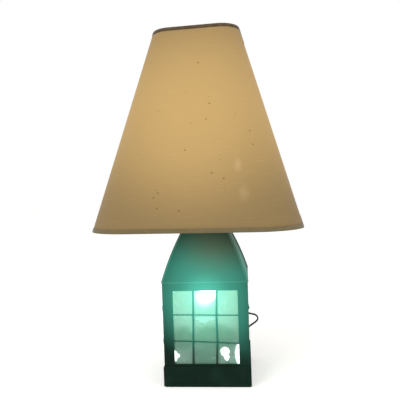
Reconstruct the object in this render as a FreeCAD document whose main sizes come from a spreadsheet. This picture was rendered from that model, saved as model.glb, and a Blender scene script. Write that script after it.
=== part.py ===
import FreeCAD, Part
import math
import os

import Sketcher

# A lantern table lamp: a square sheet-metal lantern with a glazed door carries a lamp stem, a socket and
# harp, and a tall square shade. The frame's origin is the centre of the underside, +Z up, the door faces -Y.
# Lengths are millimetres and angles degrees.

DIMENSIONS = {
    # lantern case
    "case_width": 127.0,          # outside of the square case, and of the door
    "sheet": 1.0,                 # thickness of the case, door and roof sheet
    "loose_gap": 0.3,             # space between pieces that don't touch
    "base_thick": 1.5,
    "felt_thick": 1.5,
    "felt_inset": 1.0,
    "plinth_proud": 1.5,          # how far the plinth stands out of the case
    "plinth_top": 30.0,
    "plinth_sheet": 1.2,
    "case_top": 155.3,            # the eave, above the table
    "post_width": 12.0,           # the case's own flanges behind the door
    # door and windows
    "door_depth": 6.0,
    "stile_width": 15.5,          # from the door's edge to its window
    "window_bottom": 34.5,
    "window_top": 143.5,
    "side_stile_width": 17.5,
    "pane_left": 29.2,            # window edge to the middle of the nearest bar
    "pane_right": 31.5,
    "pane_upper": 36.3,
    "pane_lower": 32.7,
    "upright_bar": 2.8,
    "cross_bar": 1.9,
    "bar_thick": 0.8,
    "bar_lap": 2.5,               # bars reach this far behind the frame
    "glass_thick": 2.0,
    "glass_lap": 4.0,
    "clip_width": 10.0,
    "clip_sheet": 0.6,
    "clip_reach": 3.0,
    # hinges and catch
    "hinge_pin": 1.0,             # diameter
    "hinge_barrel": 2.4,
    "hinge_proud": 0.35,          # barrel axis outside the case's side
    "hinge_length": 6.0,
    "hinge_spread": 49.0,         # between the two hinges
    "leaf_sheet": 0.5,
    "leaf_reach": 9.0,
    "running_gap": 0.05,          # radial, pin in bore
    "catch_length": 14.0,
    "catch_width": 4.4,
    "catch_bump": 0.8,
    # roof
    "roof_top": 250.0,
    "roof_top_width": 45.0,
    "roof_arc": 400.0,            # the roof's panels bow out on this radius
    "roof_lip": 8.0,              # flange that rests on the case
    "cap_width": 51.0,
    "cap_thick": 3.0,
    # ballast
    "floor_sheet": 1.0,
    "ballast_width": 100.0,
    "ballast_thick": 12.0,
    "screw_pitch": 80.0,
    "screw_diameter": 4.0,
    "screw_head": 7.0,
    "screw_head_thick": 2.6,
    # stem stack
    "stem_diameter": 9.6,
    "stem_bore": 6.4,
    "stem_bottom": 196.0,
    "stem_rise": 8.0,             # above the harp saddle's nut
    "washer_diameter": 22.0,
    "washer_thick": 1.5,
    "nut_across": 14.0,
    "nut_thick": 4.0,
    "neck_height": 9.0,
    "neck_diameter": 22.0,
    "neck_waist": 15.0,
    "saddle_thick": 2.0,
    "saddle_width": 12.0,
    # lantern light
    "night_socket_diameter": 22.0,
    "night_socket_length": 50.0,
    "night_cap_diameter": 12.0,
    "night_cap_length": 18.0,
    "night_bulb_diameter": 25.0,
    "night_bulb_length": 42.0,
    # upper light
    "socket_diameter": 34.0,
    "socket_cap_height": 15.0,
    "socket_shell_height": 40.0,
    "socket_sheet": 0.8,
    "core_diameter": 30.0,
    "core_height": 18.0,
    "bulb_cap_diameter": 26.0,
    "bulb_cap_length": 24.0,
    "bulb_diameter": 60.0,
    "bulb_length": 84.0,          # of the glass above its cap
    "bulb_wall": 1.0,
    "knob_diameter": 9.0,
    "knob_length": 13.0,
    "knob_shaft": 3.6,
    # harp and finial
    "harp_height": 241.0,
    "harp_width": 112.0,
    "harp_wire_diameter": 3.0,
    "harp_foot": 48.0,            # between the arms at the saddle
    "harp_post": 12.0,            # straight foot in each ferrule
    "harp_seat": 14.0,            # diameter of the disc that the shade sits on
    "harp_seat_thick": 2.0,
    "stud_diameter": 6.0,
    "stud_height": 12.0,
    "ferrule_diameter": 7.0,
    "ferrule_height": 14.0,
    "finial_diameter": 18.0,
    "finial_height": 28.0,
    # shade
    "shade_top_width": 129.4,
    "shade_top_corner": 29.0,
    "shade_bottom_width": 300.6,
    "shade_bottom_corner": 64.0,
    "shade_height": 292.3,
    "shade_rise": 26.8,           # the top rim above the harp's seat
    "shade_skin_thick": 1.0,
    "shade_turn": -5.0,
    "ring_wire_diameter": 3.0,
    "trim_height": 5.0,
    "trim_thick": 0.5,
    "hub_diameter": 24.0,
    "hub_thick": 2.0,
    "arm_diameter": 2.6,
    # flex
    "cord_diameter": 4.0,         # round, with about the section of the flat 5.4 x 2.7 flex
    "bushing_x": 50.0,
    "bushing_z": 74.0,
    "bushing_flange": 12.0,
    "bushing_length": 20.0,
    "coil_x": -15.0,
    "coil_y": 160.0,
    "coil_lift": 2.9,             # middle of the lower layer above the table
    "coil_inner": 19.4,
    "coil_pitch": 5.2,
    "coil_layer": 5.5,
    "coil_tail": 12.0,            # straight end towards the plug
    "tie_thick": 0.6,
    "tie_width": 4.0,
    "plug_length": 24.0,
    "plug_width": 24.0,
    "plug_neck": 20.0,
    "plug_neck_diameter": 6.4,
    "prong_length": 17.0,
    "prong_width": 6.4,
    "prong_thick": 1.5,
    "prong_spacing": 12.7,
}
COIL_TURNS = 4  # in each of the two layers


class Size:
    """A length with the sheet expression that gives it, so that one sum serves both."""

    def __init__(self, value, text):
        self.value = value
        self.text = text

    def __add__(self, other):
        other = as_size(other)
        return Size(self.value + other.value, f"({self.text} + {other.text})")

    def __sub__(self, other):
        other = as_size(other)
        return Size(self.value - other.value, f"({self.text} - {other.text})")

    def __mul__(self, factor):
        return Size(self.value * factor, f"({self.text} * {factor})")

    def __truediv__(self, factor):
        return Size(self.value / factor, f"({self.text} / {factor})")

    def __neg__(self):
        return Size(-self.value, f"(-1 * {self.text})")


def as_size(number):
    return number if isinstance(number, Size) else Size(float(number), f"{float(number)}")


doc = FreeCAD.newDocument("LanternLamp")
sheet_object = doc.addObject("Spreadsheet::Sheet", "Sizes")
size = {}
for row, (name, number) in enumerate(DIMENSIONS.items(), start=1):
    sheet_object.set(f"B{row}", str(number))
    sheet_object.setAlias(f"B{row}", name)
    size[name] = Size(number, f"Sizes.{name}")
doc.recompute()

ZERO = as_size(0)
X_AXIS = FreeCAD.Vector(1, 0, 0)
Y_AXIS = FreeCAD.Vector(0, 1, 0)
Z_AXIS = FreeCAD.Vector(0, 0, 1)
sub_parts = []


def keep(label, shape_object):
    """Names a finished sub-part and lists it for export."""
    shape_object.Label = label
    sub_parts.append(shape_object)
    return shape_object


def bind(shape_object, prop, length):
    shape_object.setExpression(prop, as_size(length).text)


def move_to(shape_object, x=0, y=0, z=0, axis=None, angle=0):
    if axis is not None:
        shape_object.Placement = FreeCAD.Placement(FreeCAD.Vector(), FreeCAD.Rotation(axis, angle))
    for letter, length in (("x", x), ("y", y), ("z", z)):
        bind(shape_object, f"Placement.Base.{letter}", length)
    return shape_object


# ---------------------------------------------------------------- building blocks

def box(x0, x1, y0, y1, z0, z1, name="Block"):
    block = doc.addObject("Part::Box", name)
    low = [as_size(v) for v in (x0, y0, z0)]
    high = [as_size(v) for v in (x1, y1, z1)]
    for prop, a, b in zip(("Length", "Width", "Height"), low, high):
        bind(block, prop, b - a)
    return move_to(block, *low)


def square_box(half, z0, z1, name="Block"):
    return box(-half, half, -half, half, z0, z1, name)


def rod(diameter, height, x=0, y=0, z=0, axis=None, angle=0, name="Rod"):
    cylinder = doc.addObject("Part::Cylinder", name)
    bind(cylinder, "Radius", diameter / 2)
    bind(cylinder, "Height", height)
    return move_to(cylinder, x, y, z, axis, angle)


def fuse(shapes, name="Joined"):
    joined = doc.addObject("Part::MultiFuse", name)
    joined.Shapes = shapes
    return joined


def cut(base, tools, name="Cut"):
    result = doc.addObject("Part::Cut", name)
    result.Base = base
    result.Tool = tools[0] if len(tools) == 1 else fuse(tools, f"{name}Tools")
    return result


def group(shapes, name="Group"):
    compound = doc.addObject("Part::Compound", name)
    compound.Links = shapes
    return compound


def new_body(name):
    return doc.addObject("PartDesign::Body", name)


def new_sketch(body, role, height=None):
    """A sketch on one of the body's own origin planes, raised by height along the plane's normal."""
    sketch = body.newObject("Sketcher::SketchObject", f"{body.Name}Sketch")
    plane = next(f for f in body.Origin.OriginFeatures if f.Role == role)
    sketch.AttachmentSupport = [(plane, "")]
    sketch.MapMode = "FlatFace"
    if height is not None:
        sketch.setExpression("AttachmentOffset.Base.z", as_size(height).text)
    return sketch


def pin_value(sketch, kind, geometry, point, length):
    """Holds one coordinate of a vertex at a sheet size."""
    if isinstance(length, Size) and length.text != ZERO.text:
        letter = "DistanceX" if kind == "x" else "DistanceY"
        index = sketch.addConstraint(Sketcher.Constraint(letter, -1, 1, geometry, point, length.value))
        sketch.setExpression(f"Constraints[{index}]", length.text)
    else:
        axis = -2 if kind == "x" else -1
        sketch.addConstraint(Sketcher.Constraint("PointOnObject", geometry, point, axis))


def outline(sketch, vertices):
    """A closed outline through (x, y) vertices; (x, y, radius) reaches its vertex on an arc instead of a
    line, turning left where the radius is positive and right where it is negative."""
    count = len(vertices)
    ends = []
    for i in range(count):
        here, there = vertices[i - 1], vertices[i]
        p = FreeCAD.Vector(as_size(here[0]).value, as_size(here[1]).value, 0)
        q = FreeCAD.Vector(as_size(there[0]).value, as_size(there[1]).value, 0)
        if len(there) == 2:
            index = sketch.addGeometry(Part.LineSegment(p, q), False)
            ends.append((index, 1, 2))
            continue
        radius = as_size(there[2])
        left = radius.value > 0
        chord = q - p
        across = FreeCAD.Vector(-chord.y, chord.x, 0).normalize()
        rise = math.sqrt(max(radius.value ** 2 - (chord.Length / 2) ** 2, 0.0))
        centre = (p + q) * 0.5 + across * (rise if left else -rise)
        start, stop = (p, q) if left else (q, p)
        circle = Part.Circle(centre, Z_AXIS, abs(radius.value))
        a = math.atan2(start.y - centre.y, start.x - centre.x)
        b = math.atan2(stop.y - centre.y, stop.x - centre.x)
        index = sketch.addGeometry(Part.ArcOfCircle(circle, a, b if b > a else b + 2 * math.pi), False)
        ends.append((index, 1, 2) if left else (index, 2, 1))
        bound = sketch.addConstraint(Sketcher.Constraint("Radius", index, abs(radius.value)))
        sketch.setExpression(f"Constraints[{bound}]", (radius if left else -radius).text)
    for i in range(count):
        index, start, stop = ends[i]
        after, after_start, _ = ends[(i + 1) % count]
        sketch.addConstraint(Sketcher.Constraint("Coincident", index, stop, after, after_start))
        pin_value(sketch, "x", index, stop, vertices[i][0])
        pin_value(sketch, "y", index, stop, vertices[i][1])


def circle_outline(sketch, x, y, diameter):
    place = FreeCAD.Vector(as_size(x).value, as_size(y).value, 0)
    index = sketch.addGeometry(Part.Circle(place, Z_AXIS, diameter.value / 2), False)
    bound = sketch.addConstraint(Sketcher.Constraint("Diameter", index, diameter.value))
    sketch.setExpression(f"Constraints[{bound}]", diameter.text)
    pin_value(sketch, "x", index, 3, x)
    pin_value(sketch, "y", index, 3, y)


def rectangle(half_x, half_y):
    return [(half_x, -half_y), (half_x, half_y), (-half_x, half_y), (-half_x, -half_y)]


def rounded_square(half, radius):
    flat = half - radius
    return [(half, -flat, radius), (half, flat), (flat, half, radius), (-flat, half),
            (-half, flat, radius), (-half, -flat), (-flat, -half, radius), (flat, -half)]


def turned(name, profile, x=0, y=0, z=0, axis=None, angle=0):
    """A body turned about its own Z axis; the profile is (radius, height) vertices."""
    body = new_body(name)
    sketch = new_sketch(body, "XZ_Plane")
    outline(sketch, profile)
    spin = body.newObject("PartDesign::Revolution", f"{name}Spin")
    spin.Profile = sketch
    spin.ReferenceAxis = (sketch, ["V_Axis"])
    spin.Angle = 360
    body.Tip = spin
    return move_to(body, x, y, z, axis, angle)


def padded(name, thick, outer, holes=(), x=0, y=0, z=0, axis=None, angle=0):
    """A plate padded up from its own XY plane; holes are (x, y, diameter)."""
    body = new_body(name)
    sketch = new_sketch(body, "XY_Plane")
    if outer[0] == "circle":
        circle_outline(sketch, 0, 0, outer[1])
    else:
        outline(sketch, outer)
    for hole in holes:
        circle_outline(sketch, *hole)
    pad = body.newObject("PartDesign::Pad", f"{name}Pad")
    pad.Profile = sketch
    bind(pad, "Length", thick)
    body.Tip = pad
    return move_to(body, x, y, z, axis, angle)


def round_edges(body, feature_type, size_name, amount, wanted):
    """Adds a fillet or chamfer to the edges of the body's tip that wanted(edge) picks."""
    doc.recompute()
    base = body.Tip
    names = [f"Edge{i}" for i, edge in enumerate(base.Shape.Edges, start=1) if wanted(edge)]
    feature = body.newObject(f"PartDesign::{feature_type}", f"{body.Name}{feature_type}")
    feature.Base = (base, names)
    bind(feature, size_name, amount)
    body.Tip = feature
    return body


def is_straight(edge):
    return edge.Curve.TypeId == "Part::GeomLine"


def is_upright(edge):
    return is_straight(edge) and abs(edge.tangentAt(edge.FirstParameter).z) > 0.9


def is_top_rim(edge):
    """A straight level edge above the plate's foot."""
    return is_straight(edge) and edge.BoundBox.ZLength < 1e-6 and edge.BoundBox.ZMin > 1e-6


def lofted(name, levels, hollow_levels=()):
    """A straight loft through rounded squares (height, half width, corner), less a second such loft."""
    body = new_body(name)
    for kind, steps in (("Additive", levels), ("Subtractive", hollow_levels)):
        if not steps:
            continue
        sketches = []
        for height, half, corner in steps:
            sketch = new_sketch(body, "XY_Plane", height)
            outline(sketch, rounded_square(half, corner))
            sketches.append(sketch)
        loft = body.newObject(f"PartDesign::{kind}Loft", f"{name}{kind}")
        loft.Profile = sketches[0]
        loft.Sections = sketches[1:]
        loft.Ruled = True
        body.Tip = loft
    return body


# ---------------------------------------------------------------- paths of wires and cords

def rounded_path(points):
    """Straight runs joined by tangent arcs, and the arcs' radii. Each arc takes 0.45 of its shorter run."""
    points = [FreeCAD.Vector(*p) for p in points]
    edges, found, start = [], [], points[0]
    for i in range(1, len(points) - 1):
        before = points[i - 1] - points[i]
        after = points[i + 1] - points[i]
        turn = math.pi - before.getAngle(after)
        reach = 0.45 * min(before.Length, after.Length)
        found.append(reach / math.tan(turn / 2))
        a = points[i] + before.normalize() * reach
        b = points[i] + after.normalize() * reach
        inward = (before + after).normalize()
        middle = points[i] + inward * (found[-1] / math.cos(turn / 2) - found[-1])
        edges.append(Part.LineSegment(start, a).toShape())
        edges.append(Part.Arc(a, middle, b).toShape())
        start = b
    edges.append(Part.LineSegment(start, points[-1]).toShape())
    return Part.Wire(edges), found


def tube_along(wire, diameter):
    """A round tube swept along a smooth wire."""
    first = wire.OrderedEdges[0]
    start = first.firstVertex(True).Point
    direction = first.tangentAt(first.FirstParameter)
    if first.Orientation == "Reversed":
        direction = first.tangentAt(first.LastParameter) * -1
    ring = Part.Wire([Part.Circle(start, direction, diameter / 2).toShape()])
    shell = Part.BRepOffsetAPI.MakePipeShell(wire)
    shell.add(ring)
    shell.build()
    shell.makeSolid()
    return shell.shape()


def shape_feature(name, shape):
    feature = doc.addObject("Part::Feature", name)
    feature.Shape = shape
    return feature


def biarc(p, p_way, q, q_way):
    """Two arcs that leave p along p_way and reach q along q_way, both unit vectors."""
    across = q - p
    both = p_way + q_way
    lean = 2 * (1 - p_way.dot(q_way))
    along = across.dot(both)
    if abs(lean) < 1e-9:
        reach = across.dot(across) / (2 * along)
    else:
        reach = (-along + math.sqrt(along ** 2 + lean * across.dot(across))) / lean
    joint = (p + q + (p_way - q_way) * reach) * 0.5
    edges = []
    for start, stop, way in ((p, joint, p_way), (joint, q, q_way)):
        chord = stop - start
        tangent = way if start is p else way * -1
        near, far = (start, stop) if start is p else (stop, start)
        bow = far - near
        normal = bow.cross(tangent)
        if normal.Length < 1e-7 * chord.Length:
            edges.append(Part.LineSegment(start, stop).toShape())
            continue
        normal.normalize()
        side = normal.cross(tangent).normalize()
        radius = bow.dot(bow) / (2 * bow.dot(side))
        centre = near + side * radius
        middle = centre + ((near + far) * 0.5 - centre).normalize() * abs(radius)
        edges.append(Part.Arc(start, middle, stop).toShape())
    return edges


# ---------------------------------------------------------------- shared heights and widths

case_half = size["case_width"] / 2
inner_half = case_half - size["sheet"]
plinth_half = case_half + size["plinth_proud"]
base_top = size["felt_thick"] + size["base_thick"]
front = -case_half
door_back = front + size["door_depth"]
case_front = door_back + size["loose_gap"]
door_bottom = size["plinth_top"] + size["loose_gap"]
door_top = size["case_top"] - size["loose_gap"]
hinge_x = -(case_half + size["hinge_proud"])
hinge_y = (door_back + case_front) / 2
door_middle = (door_bottom + door_top) / 2
window_width = size["case_width"] - size["stile_width"] * 2
side_window_width = size["case_width"] - size["side_stile_width"] * 2
cap_top = size["roof_top"] + size["cap_thick"]
neck_top = cap_top + size["neck_height"]
saddle_top = neck_top + size["saddle_thick"]
nut_top = saddle_top + size["nut_thick"]
seat_height = neck_top + size["harp_height"]
shade_top = seat_height + size["shade_rise"]
shade_bottom = shade_top - size["shade_height"]


# ---------------------------------------------------------------- case

def make_base():
    felt_half = plinth_half - size["felt_inset"]
    corner = size["plinth_proud"] * 2
    keep("felt_pad", padded("FeltPad", size["felt_thick"], rounded_square(felt_half, corner)))

    pitch = size["screw_pitch"] / 2
    corners = [(pitch, pitch), (-pitch, pitch), (-pitch, -pitch), (pitch, -pitch)]
    clear = size["screw_diameter"] + size["running_gap"] * 2
    holes = [(x, y, clear) for x, y in corners]
    plate_half = plinth_half - size["plinth_sheet"] - size["loose_gap"]
    plate = padded("BasePlate", size["base_thick"], rectangle(plate_half, plate_half), holes,
                   z=size["felt_thick"])
    keep("base_plate", plate)

    block_half = size["ballast_width"] / 2
    block = padded("BallastBlock", size["ballast_thick"], rectangle(block_half, block_half), holes,
                   z=base_top)
    round_edges(block, "Fillet", "Radius", size["ballast_thick"] / 3, is_upright)
    keep("ballast_block", block)

    screws = []
    shank = size["ballast_thick"] + size["base_thick"]
    for number, (x, y) in enumerate(corners):
        head = size["screw_head"] / 2
        body = size["screw_diameter"] / 2
        tall = shank + size["screw_head_thick"]
        profile = [(ZERO, ZERO), (body, ZERO), (body, shank), (head, shank),
                   (head, shank + size["screw_head_thick"] / 2), (body, tall), (ZERO, tall)]
        screws.append(turned(f"Screw{number}", profile, x, y, size["felt_thick"]))
    keep("ballast_screws", group(screws, "BallastScrews"))

    outer = square_box(plinth_half, size["felt_thick"], size["plinth_top"])
    inner = square_box(plinth_half - size["plinth_sheet"], 0, size["plinth_top"] + 1)
    keep("plinth_band", cut(outer, [inner], "PlinthBand"))

    pan_half = inner_half - size["loose_gap"]
    hollow_half = pan_half - size["floor_sheet"]
    pan = square_box(pan_half, base_top, size["plinth_top"])
    hollow = square_box(hollow_half, 0, size["plinth_top"] - size["floor_sheet"])
    keep("floor_pan", cut(pan, [hollow], "FloorPan"))


def hinge_heights():
    spread = size["hinge_spread"] / 2
    return door_middle - spread, door_middle + spread


def hinge_notches(gap):
    """Round recesses for the hinge barrels, in whatever edge they meet."""
    length = size["hinge_length"] + gap * 2
    return [rod(size["hinge_barrel"] + gap * 2, length, hinge_x, hinge_y, z - length / 2)
            for z in hinge_heights()]


def make_case():
    lower = square_box(case_half, base_top, size["plinth_top"])
    upper = box(-case_half, case_half, case_front, case_half, size["plinth_top"], size["case_top"])
    room = box(-inner_half, inner_half, case_front + size["sheet"], inner_half, 0, size["case_top"] + 1)
    low_room = square_box(inner_half, 0, size["plinth_top"])
    opening = inner_half + size["sheet"] - size["post_width"]
    header = size["case_top"] - (size["case_top"] - size["window_top"]) * 0.75
    doorway = box(-opening, opening, front - 1, case_front + size["sheet"] + 1,
                  size["plinth_top"] + size["sheet"], header)
    window = side_window_width / 2
    sides = box(-case_half - 1, case_half + 1, -window, window, size["window_bottom"],
                size["window_top"])
    bushing_hole = rod(size["bushing_flange"] / 2 + size["loose_gap"] * 2, size["sheet"] * 3,
                       size["bushing_x"], inner_half - size["sheet"], size["bushing_z"], X_AXIS, -90)
    tools = [room, low_room, doorway, sides, bushing_hole] + hinge_notches(size["loose_gap"])
    keep("case_shell", cut(fuse([lower, upper]), tools, "CaseShell"))


def make_roof():
    """Four bowed panels: two prisms with arched sides, crossed, less a smaller pair."""
    def prism(name, inset, bottom, top, turn):
        foot = case_half - inset
        head = size["roof_top_width"] / 2 - inset
        radius = size["roof_arc"] - inset
        profile = [(foot, bottom), (head, top, radius), (-head, top), (-foot, bottom, radius)]
        body = new_body(name)
        sketch = new_sketch(body, "XZ_Plane")
        outline(sketch, profile)
        pad = body.newObject("PartDesign::Pad", f"{name}Pad")
        pad.Profile = sketch
        bind(pad, "Length", size["case_width"] * 2)
        pad.SideType = "Symmetric"
        body.Tip = pad
        return move_to(body, axis=Z_AXIS, angle=turn)

    def crossed(name, inset, bottom, top):
        both = doc.addObject("Part::MultiCommon", name)
        both.Shapes = [prism(f"{name}X", inset, bottom, top, 0), prism(f"{name}Y", inset, bottom, top, 90)]
        return both

    outer = crossed("RoofOuter", ZERO, size["case_top"], size["roof_top"])
    inner = crossed("RoofInner", size["sheet"] * 1.1, size["case_top"], size["roof_top"])
    lip_half = case_half - size["roof_lip"]
    lip = cut(square_box(case_half, size["case_top"], size["case_top"] + size["sheet"]),
              [square_box(lip_half, 0, size["roof_top"])])
    keep("roof_shell", fuse([cut(outer, [inner]), lip], "RoofShell"))

    cap_half = size["cap_width"] / 2
    hole = (0, 0, size["stem_diameter"] + size["running_gap"] * 2)
    cap = padded("RoofCap", size["cap_thick"], rectangle(cap_half, cap_half), [hole], z=size["roof_top"])
    round_edges(cap, "Chamfer", "Size", size["cap_thick"] / 2, is_top_rim)
    keep("roof_cap", cap)


# ---------------------------------------------------------------- glazing

def glazing(width, side):
    """Bars, glass and clips of one window that looks along +Y. The frame's inside face is y = 0."""
    half = width / 2
    reach = half + size["bar_lap"]
    low = size["window_bottom"] - size["bar_lap"]
    high = size["window_top"] + size["bar_lap"]
    thick = size["bar_thick"]
    bars = []
    for x in (-half + size["pane_left"], half - size["pane_right"]):
        w = size["upright_bar"] / 2
        bars.append(box(x - w, x + w, 0, thick, low, high))
    for z in (size["window_top"] - size["pane_upper"], size["window_bottom"] + size["pane_lower"]):
        w = size["cross_bar"] / 2
        bars.append(box(-reach, reach, 0, thick, z - w, z + w))
    lattice = fuse(bars, f"{side}Bars")

    back = thick + size["loose_gap"]
    lap = size["glass_lap"]
    glass_low = size["plinth_top"] + size["sheet"] + size["loose_gap"] * 2
    pane = box(-half - lap, half + lap, back, back + size["glass_thick"], glass_low,
               size["window_top"] + lap, f"{side}Glass")

    clips = []
    behind = back + size["glass_thick"]
    clip_half = size["clip_width"] / 2
    edge = half + lap + size["loose_gap"]
    for way in (-1, 1):
        for z in (size["window_bottom"] + size["clip_width"], size["window_top"] - size["clip_width"]):
            foot = [edge, edge + size["clip_sheet"]]
            arm = [edge - size["clip_reach"], edge + size["clip_sheet"]]
            if way < 0:
                foot = [-foot[1], -foot[0]]
                arm = [-arm[1], -arm[0]]
            upright = box(*foot, 0, behind + size["clip_sheet"], z - clip_half, z + clip_half)
            flat = box(*arm, behind, behind + size["clip_sheet"], z - clip_half, z + clip_half)
            clips.append(fuse([upright, flat]))
    return lattice, pane, clips


def turn_side(shape, angle, name):
    """Swings a window's piece from facing +Y to a side of the case."""
    turned_group = group([shape], name)
    x = inner_half if angle > 0 else -inner_half
    return move_to(turned_group, x, 0, 0, Z_AXIS, angle)


def make_door():
    depth = door_back
    pan = box(-case_half, case_half, front, depth, door_bottom, door_top)
    room = box(-inner_half, inner_half, front + size["sheet"], depth + 1,
               door_bottom + size["sheet"], door_top - size["sheet"])
    half = window_width / 2
    window = box(-half, half, front - 1, depth + 1, size["window_bottom"], size["window_top"])
    tools = [room, window] + hinge_notches(size["loose_gap"])
    keep("door_frame", cut(pan, tools, "DoorFrame"))

    lattice, pane, clips = glazing(window_width, "Door")
    for label, piece in (("door_bars", lattice), ("door_glass", pane),
                         ("door_glass_clips", group(clips))):
        keep(label, move_to(group([piece], label), 0, front + size["sheet"], 0))

    height = door_middle + size["hinge_spread"] / 2
    catch_half = size["catch_width"] / 2
    leaf = size["leaf_sheet"]
    strip = box(case_half, case_half + leaf, door_back - size["sheet"] * 4,
                door_back - size["sheet"] * 4 + size["catch_length"],
                height - catch_half, height + catch_half)
    bump = rod(size["catch_width"], leaf + size["catch_bump"], case_half,
               door_back - size["sheet"] * 2, height, Y_AXIS, 90)
    keep("door_catch", fuse([strip, bump], "DoorCatch"))


def make_side_windows():
    clips = []
    for side, angle in (("left", -90), ("right", 90)):
        lattice, pane, side_clips = glazing(side_window_width, side.capitalize())
        keep(f"{side}_bars", turn_side(lattice, angle, f"{side}_bars"))
        keep(f"{side}_glass", turn_side(pane, angle, f"{side}_glass"))
        clips.append(turn_side(group(side_clips), angle, f"{side}_clips"))
    keep("side_glass_clips", group(clips, "SideClips"))


def make_hinges():
    """Two three-knuckle hinges: the case holds the outer knuckles and the door the middle one."""
    third = size["hinge_length"] / 3
    gap = size["running_gap"] * 2
    barrel = size["hinge_barrel"]
    bore = size["hinge_pin"] + size["running_gap"] * 2
    outside = -case_half
    leaf = outside - size["leaf_sheet"]
    clear = barrel / 2 + size["loose_gap"]
    case_leaves, door_leaves, pins = [], [], []
    for z in hinge_heights():
        low, high = z - size["hinge_length"] / 2, z + size["hinge_length"] / 2
        inner_low, inner_high = z - third / 2, z + third / 2
        far = hinge_y + size["leaf_reach"]
        near = hinge_y - size["leaf_reach"] * 0.6
        hole = rod(bore, size["hinge_length"] * 2, hinge_x, hinge_y, z - size["hinge_length"])
        knuckles = [
            rod(barrel, inner_low - gap - low, hinge_x, hinge_y, low),
            rod(barrel, high - inner_high - gap, hinge_x, hinge_y, inner_high + gap),
            box(leaf, outside, hinge_y, hinge_y + clear, low, inner_low - gap),
            box(leaf, outside, hinge_y, hinge_y + clear, inner_high + gap, high),
            box(leaf, outside, hinge_y + clear, far, low, high),
        ]
        case_leaves.append(cut(fuse(knuckles), [hole]))
        tongue = [
            rod(barrel, inner_high - inner_low, hinge_x, hinge_y, inner_low),
            box(leaf, outside, hinge_y - clear, hinge_y, inner_low, inner_high),
            box(leaf, outside, near, hinge_y - clear, low, high),
        ]
        hole = rod(bore, size["hinge_length"] * 2, hinge_x, hinge_y, z - size["hinge_length"])
        door_leaves.append(cut(fuse(tongue), [hole]))
        pins.append(rod(size["hinge_pin"], size["hinge_length"], hinge_x, hinge_y, low))
    keep("hinge_case_leaves", group(case_leaves, "HingeCaseLeaves"))
    keep("hinge_door_leaves", group(door_leaves, "HingeDoorLeaves"))
    keep("hinge_pins", group(pins, "HingePins"))


# ---------------------------------------------------------------- lights

def hexagon(across):
    corner = across / math.sqrt(3)
    return [(corner, ZERO), (corner / 2, across / 2), (-corner / 2, across / 2), (-corner, ZERO),
            (-corner / 2, -across / 2), (corner / 2, -across / 2)]


def make_stem():
    stem_top = nut_top + size["stem_rise"]
    bore = size["stem_bore"] / 2
    wall = size["stem_diameter"] / 2
    length = stem_top - size["stem_bottom"]
    tube = turned("LampStem", [(bore, ZERO), (wall, ZERO), (wall, length), (bore, length)],
                  z=size["stem_bottom"])
    keep("lamp_stem", tube)
    clear = size["stem_diameter"] + size["running_gap"] * 2
    under = size["roof_top"] - size["washer_thick"]
    washer = padded("StemWasher", size["washer_thick"], ("circle", size["washer_diameter"]),
                    [(0, 0, clear)], z=under)
    keep("stem_washer", washer)
    nuts = [padded(f"StemNut{i}", size["nut_thick"], hexagon(size["nut_across"]), [(0, 0, clear)], z=z)
            for i, z in enumerate((under - size["nut_thick"], saddle_top))]
    keep("stem_nuts", group(nuts, "StemNuts"))

    wide, waist = size["neck_diameter"] / 2, size["neck_waist"] / 2
    hole = clear / 2
    tall = size["neck_height"]
    profile = [(hole, ZERO), (wide, ZERO), (wide, tall * 0.25), (waist, tall * 0.6),
               (waist, tall * 0.8), (wide * 0.85, tall), (hole, tall)]
    keep("neck_spacer", turned("NeckSpacer", profile, z=cap_top))


def make_night_light():
    stem_clear = size["stem_diameter"] / 2 + size["running_gap"]
    outer = size["night_socket_diameter"] / 2
    mouth = size["night_cap_diameter"] / 2 + size["running_gap"]
    tall = size["night_socket_length"]
    deep = size["night_cap_length"]
    grip = size["screw_diameter"] * 2
    foot = size["stem_bottom"] + grip - tall
    profile = [(mouth, ZERO), (outer, ZERO), (outer, tall * 0.8), (outer * 0.7, tall),
               (stem_clear, tall), (stem_clear, tall - grip), (ZERO, tall - grip), (ZERO, deep),
               (mouth, deep)]
    keep("night_socket", turned("NightSocket", profile, z=foot))
    cap = size["night_cap_diameter"] / 2
    cap_profile = [(ZERO, ZERO), (cap, ZERO), (cap, deep * 0.8), (cap * 0.5, deep), (ZERO, deep)]
    keep("night_bulb_cap", turned("NightBulbCap", cap_profile, z=foot))
    wide = size["night_bulb_diameter"] / 2
    long = size["night_bulb_length"]
    neck = cap * 0.9
    wall = size["bulb_wall"]
    glass = [(ZERO, ZERO), (wide, wide, wide), (wide, long * 0.5), (neck, long * 0.85), (neck, long),
             (neck - wall, long), (neck - wall, long * 0.85), (wide - wall, long * 0.5),
             (wide - wall, wide), (ZERO, wall, wall - wide)]
    keep("night_bulb_glass", turned("NightBulbGlass", glass, z=foot - long))


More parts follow.
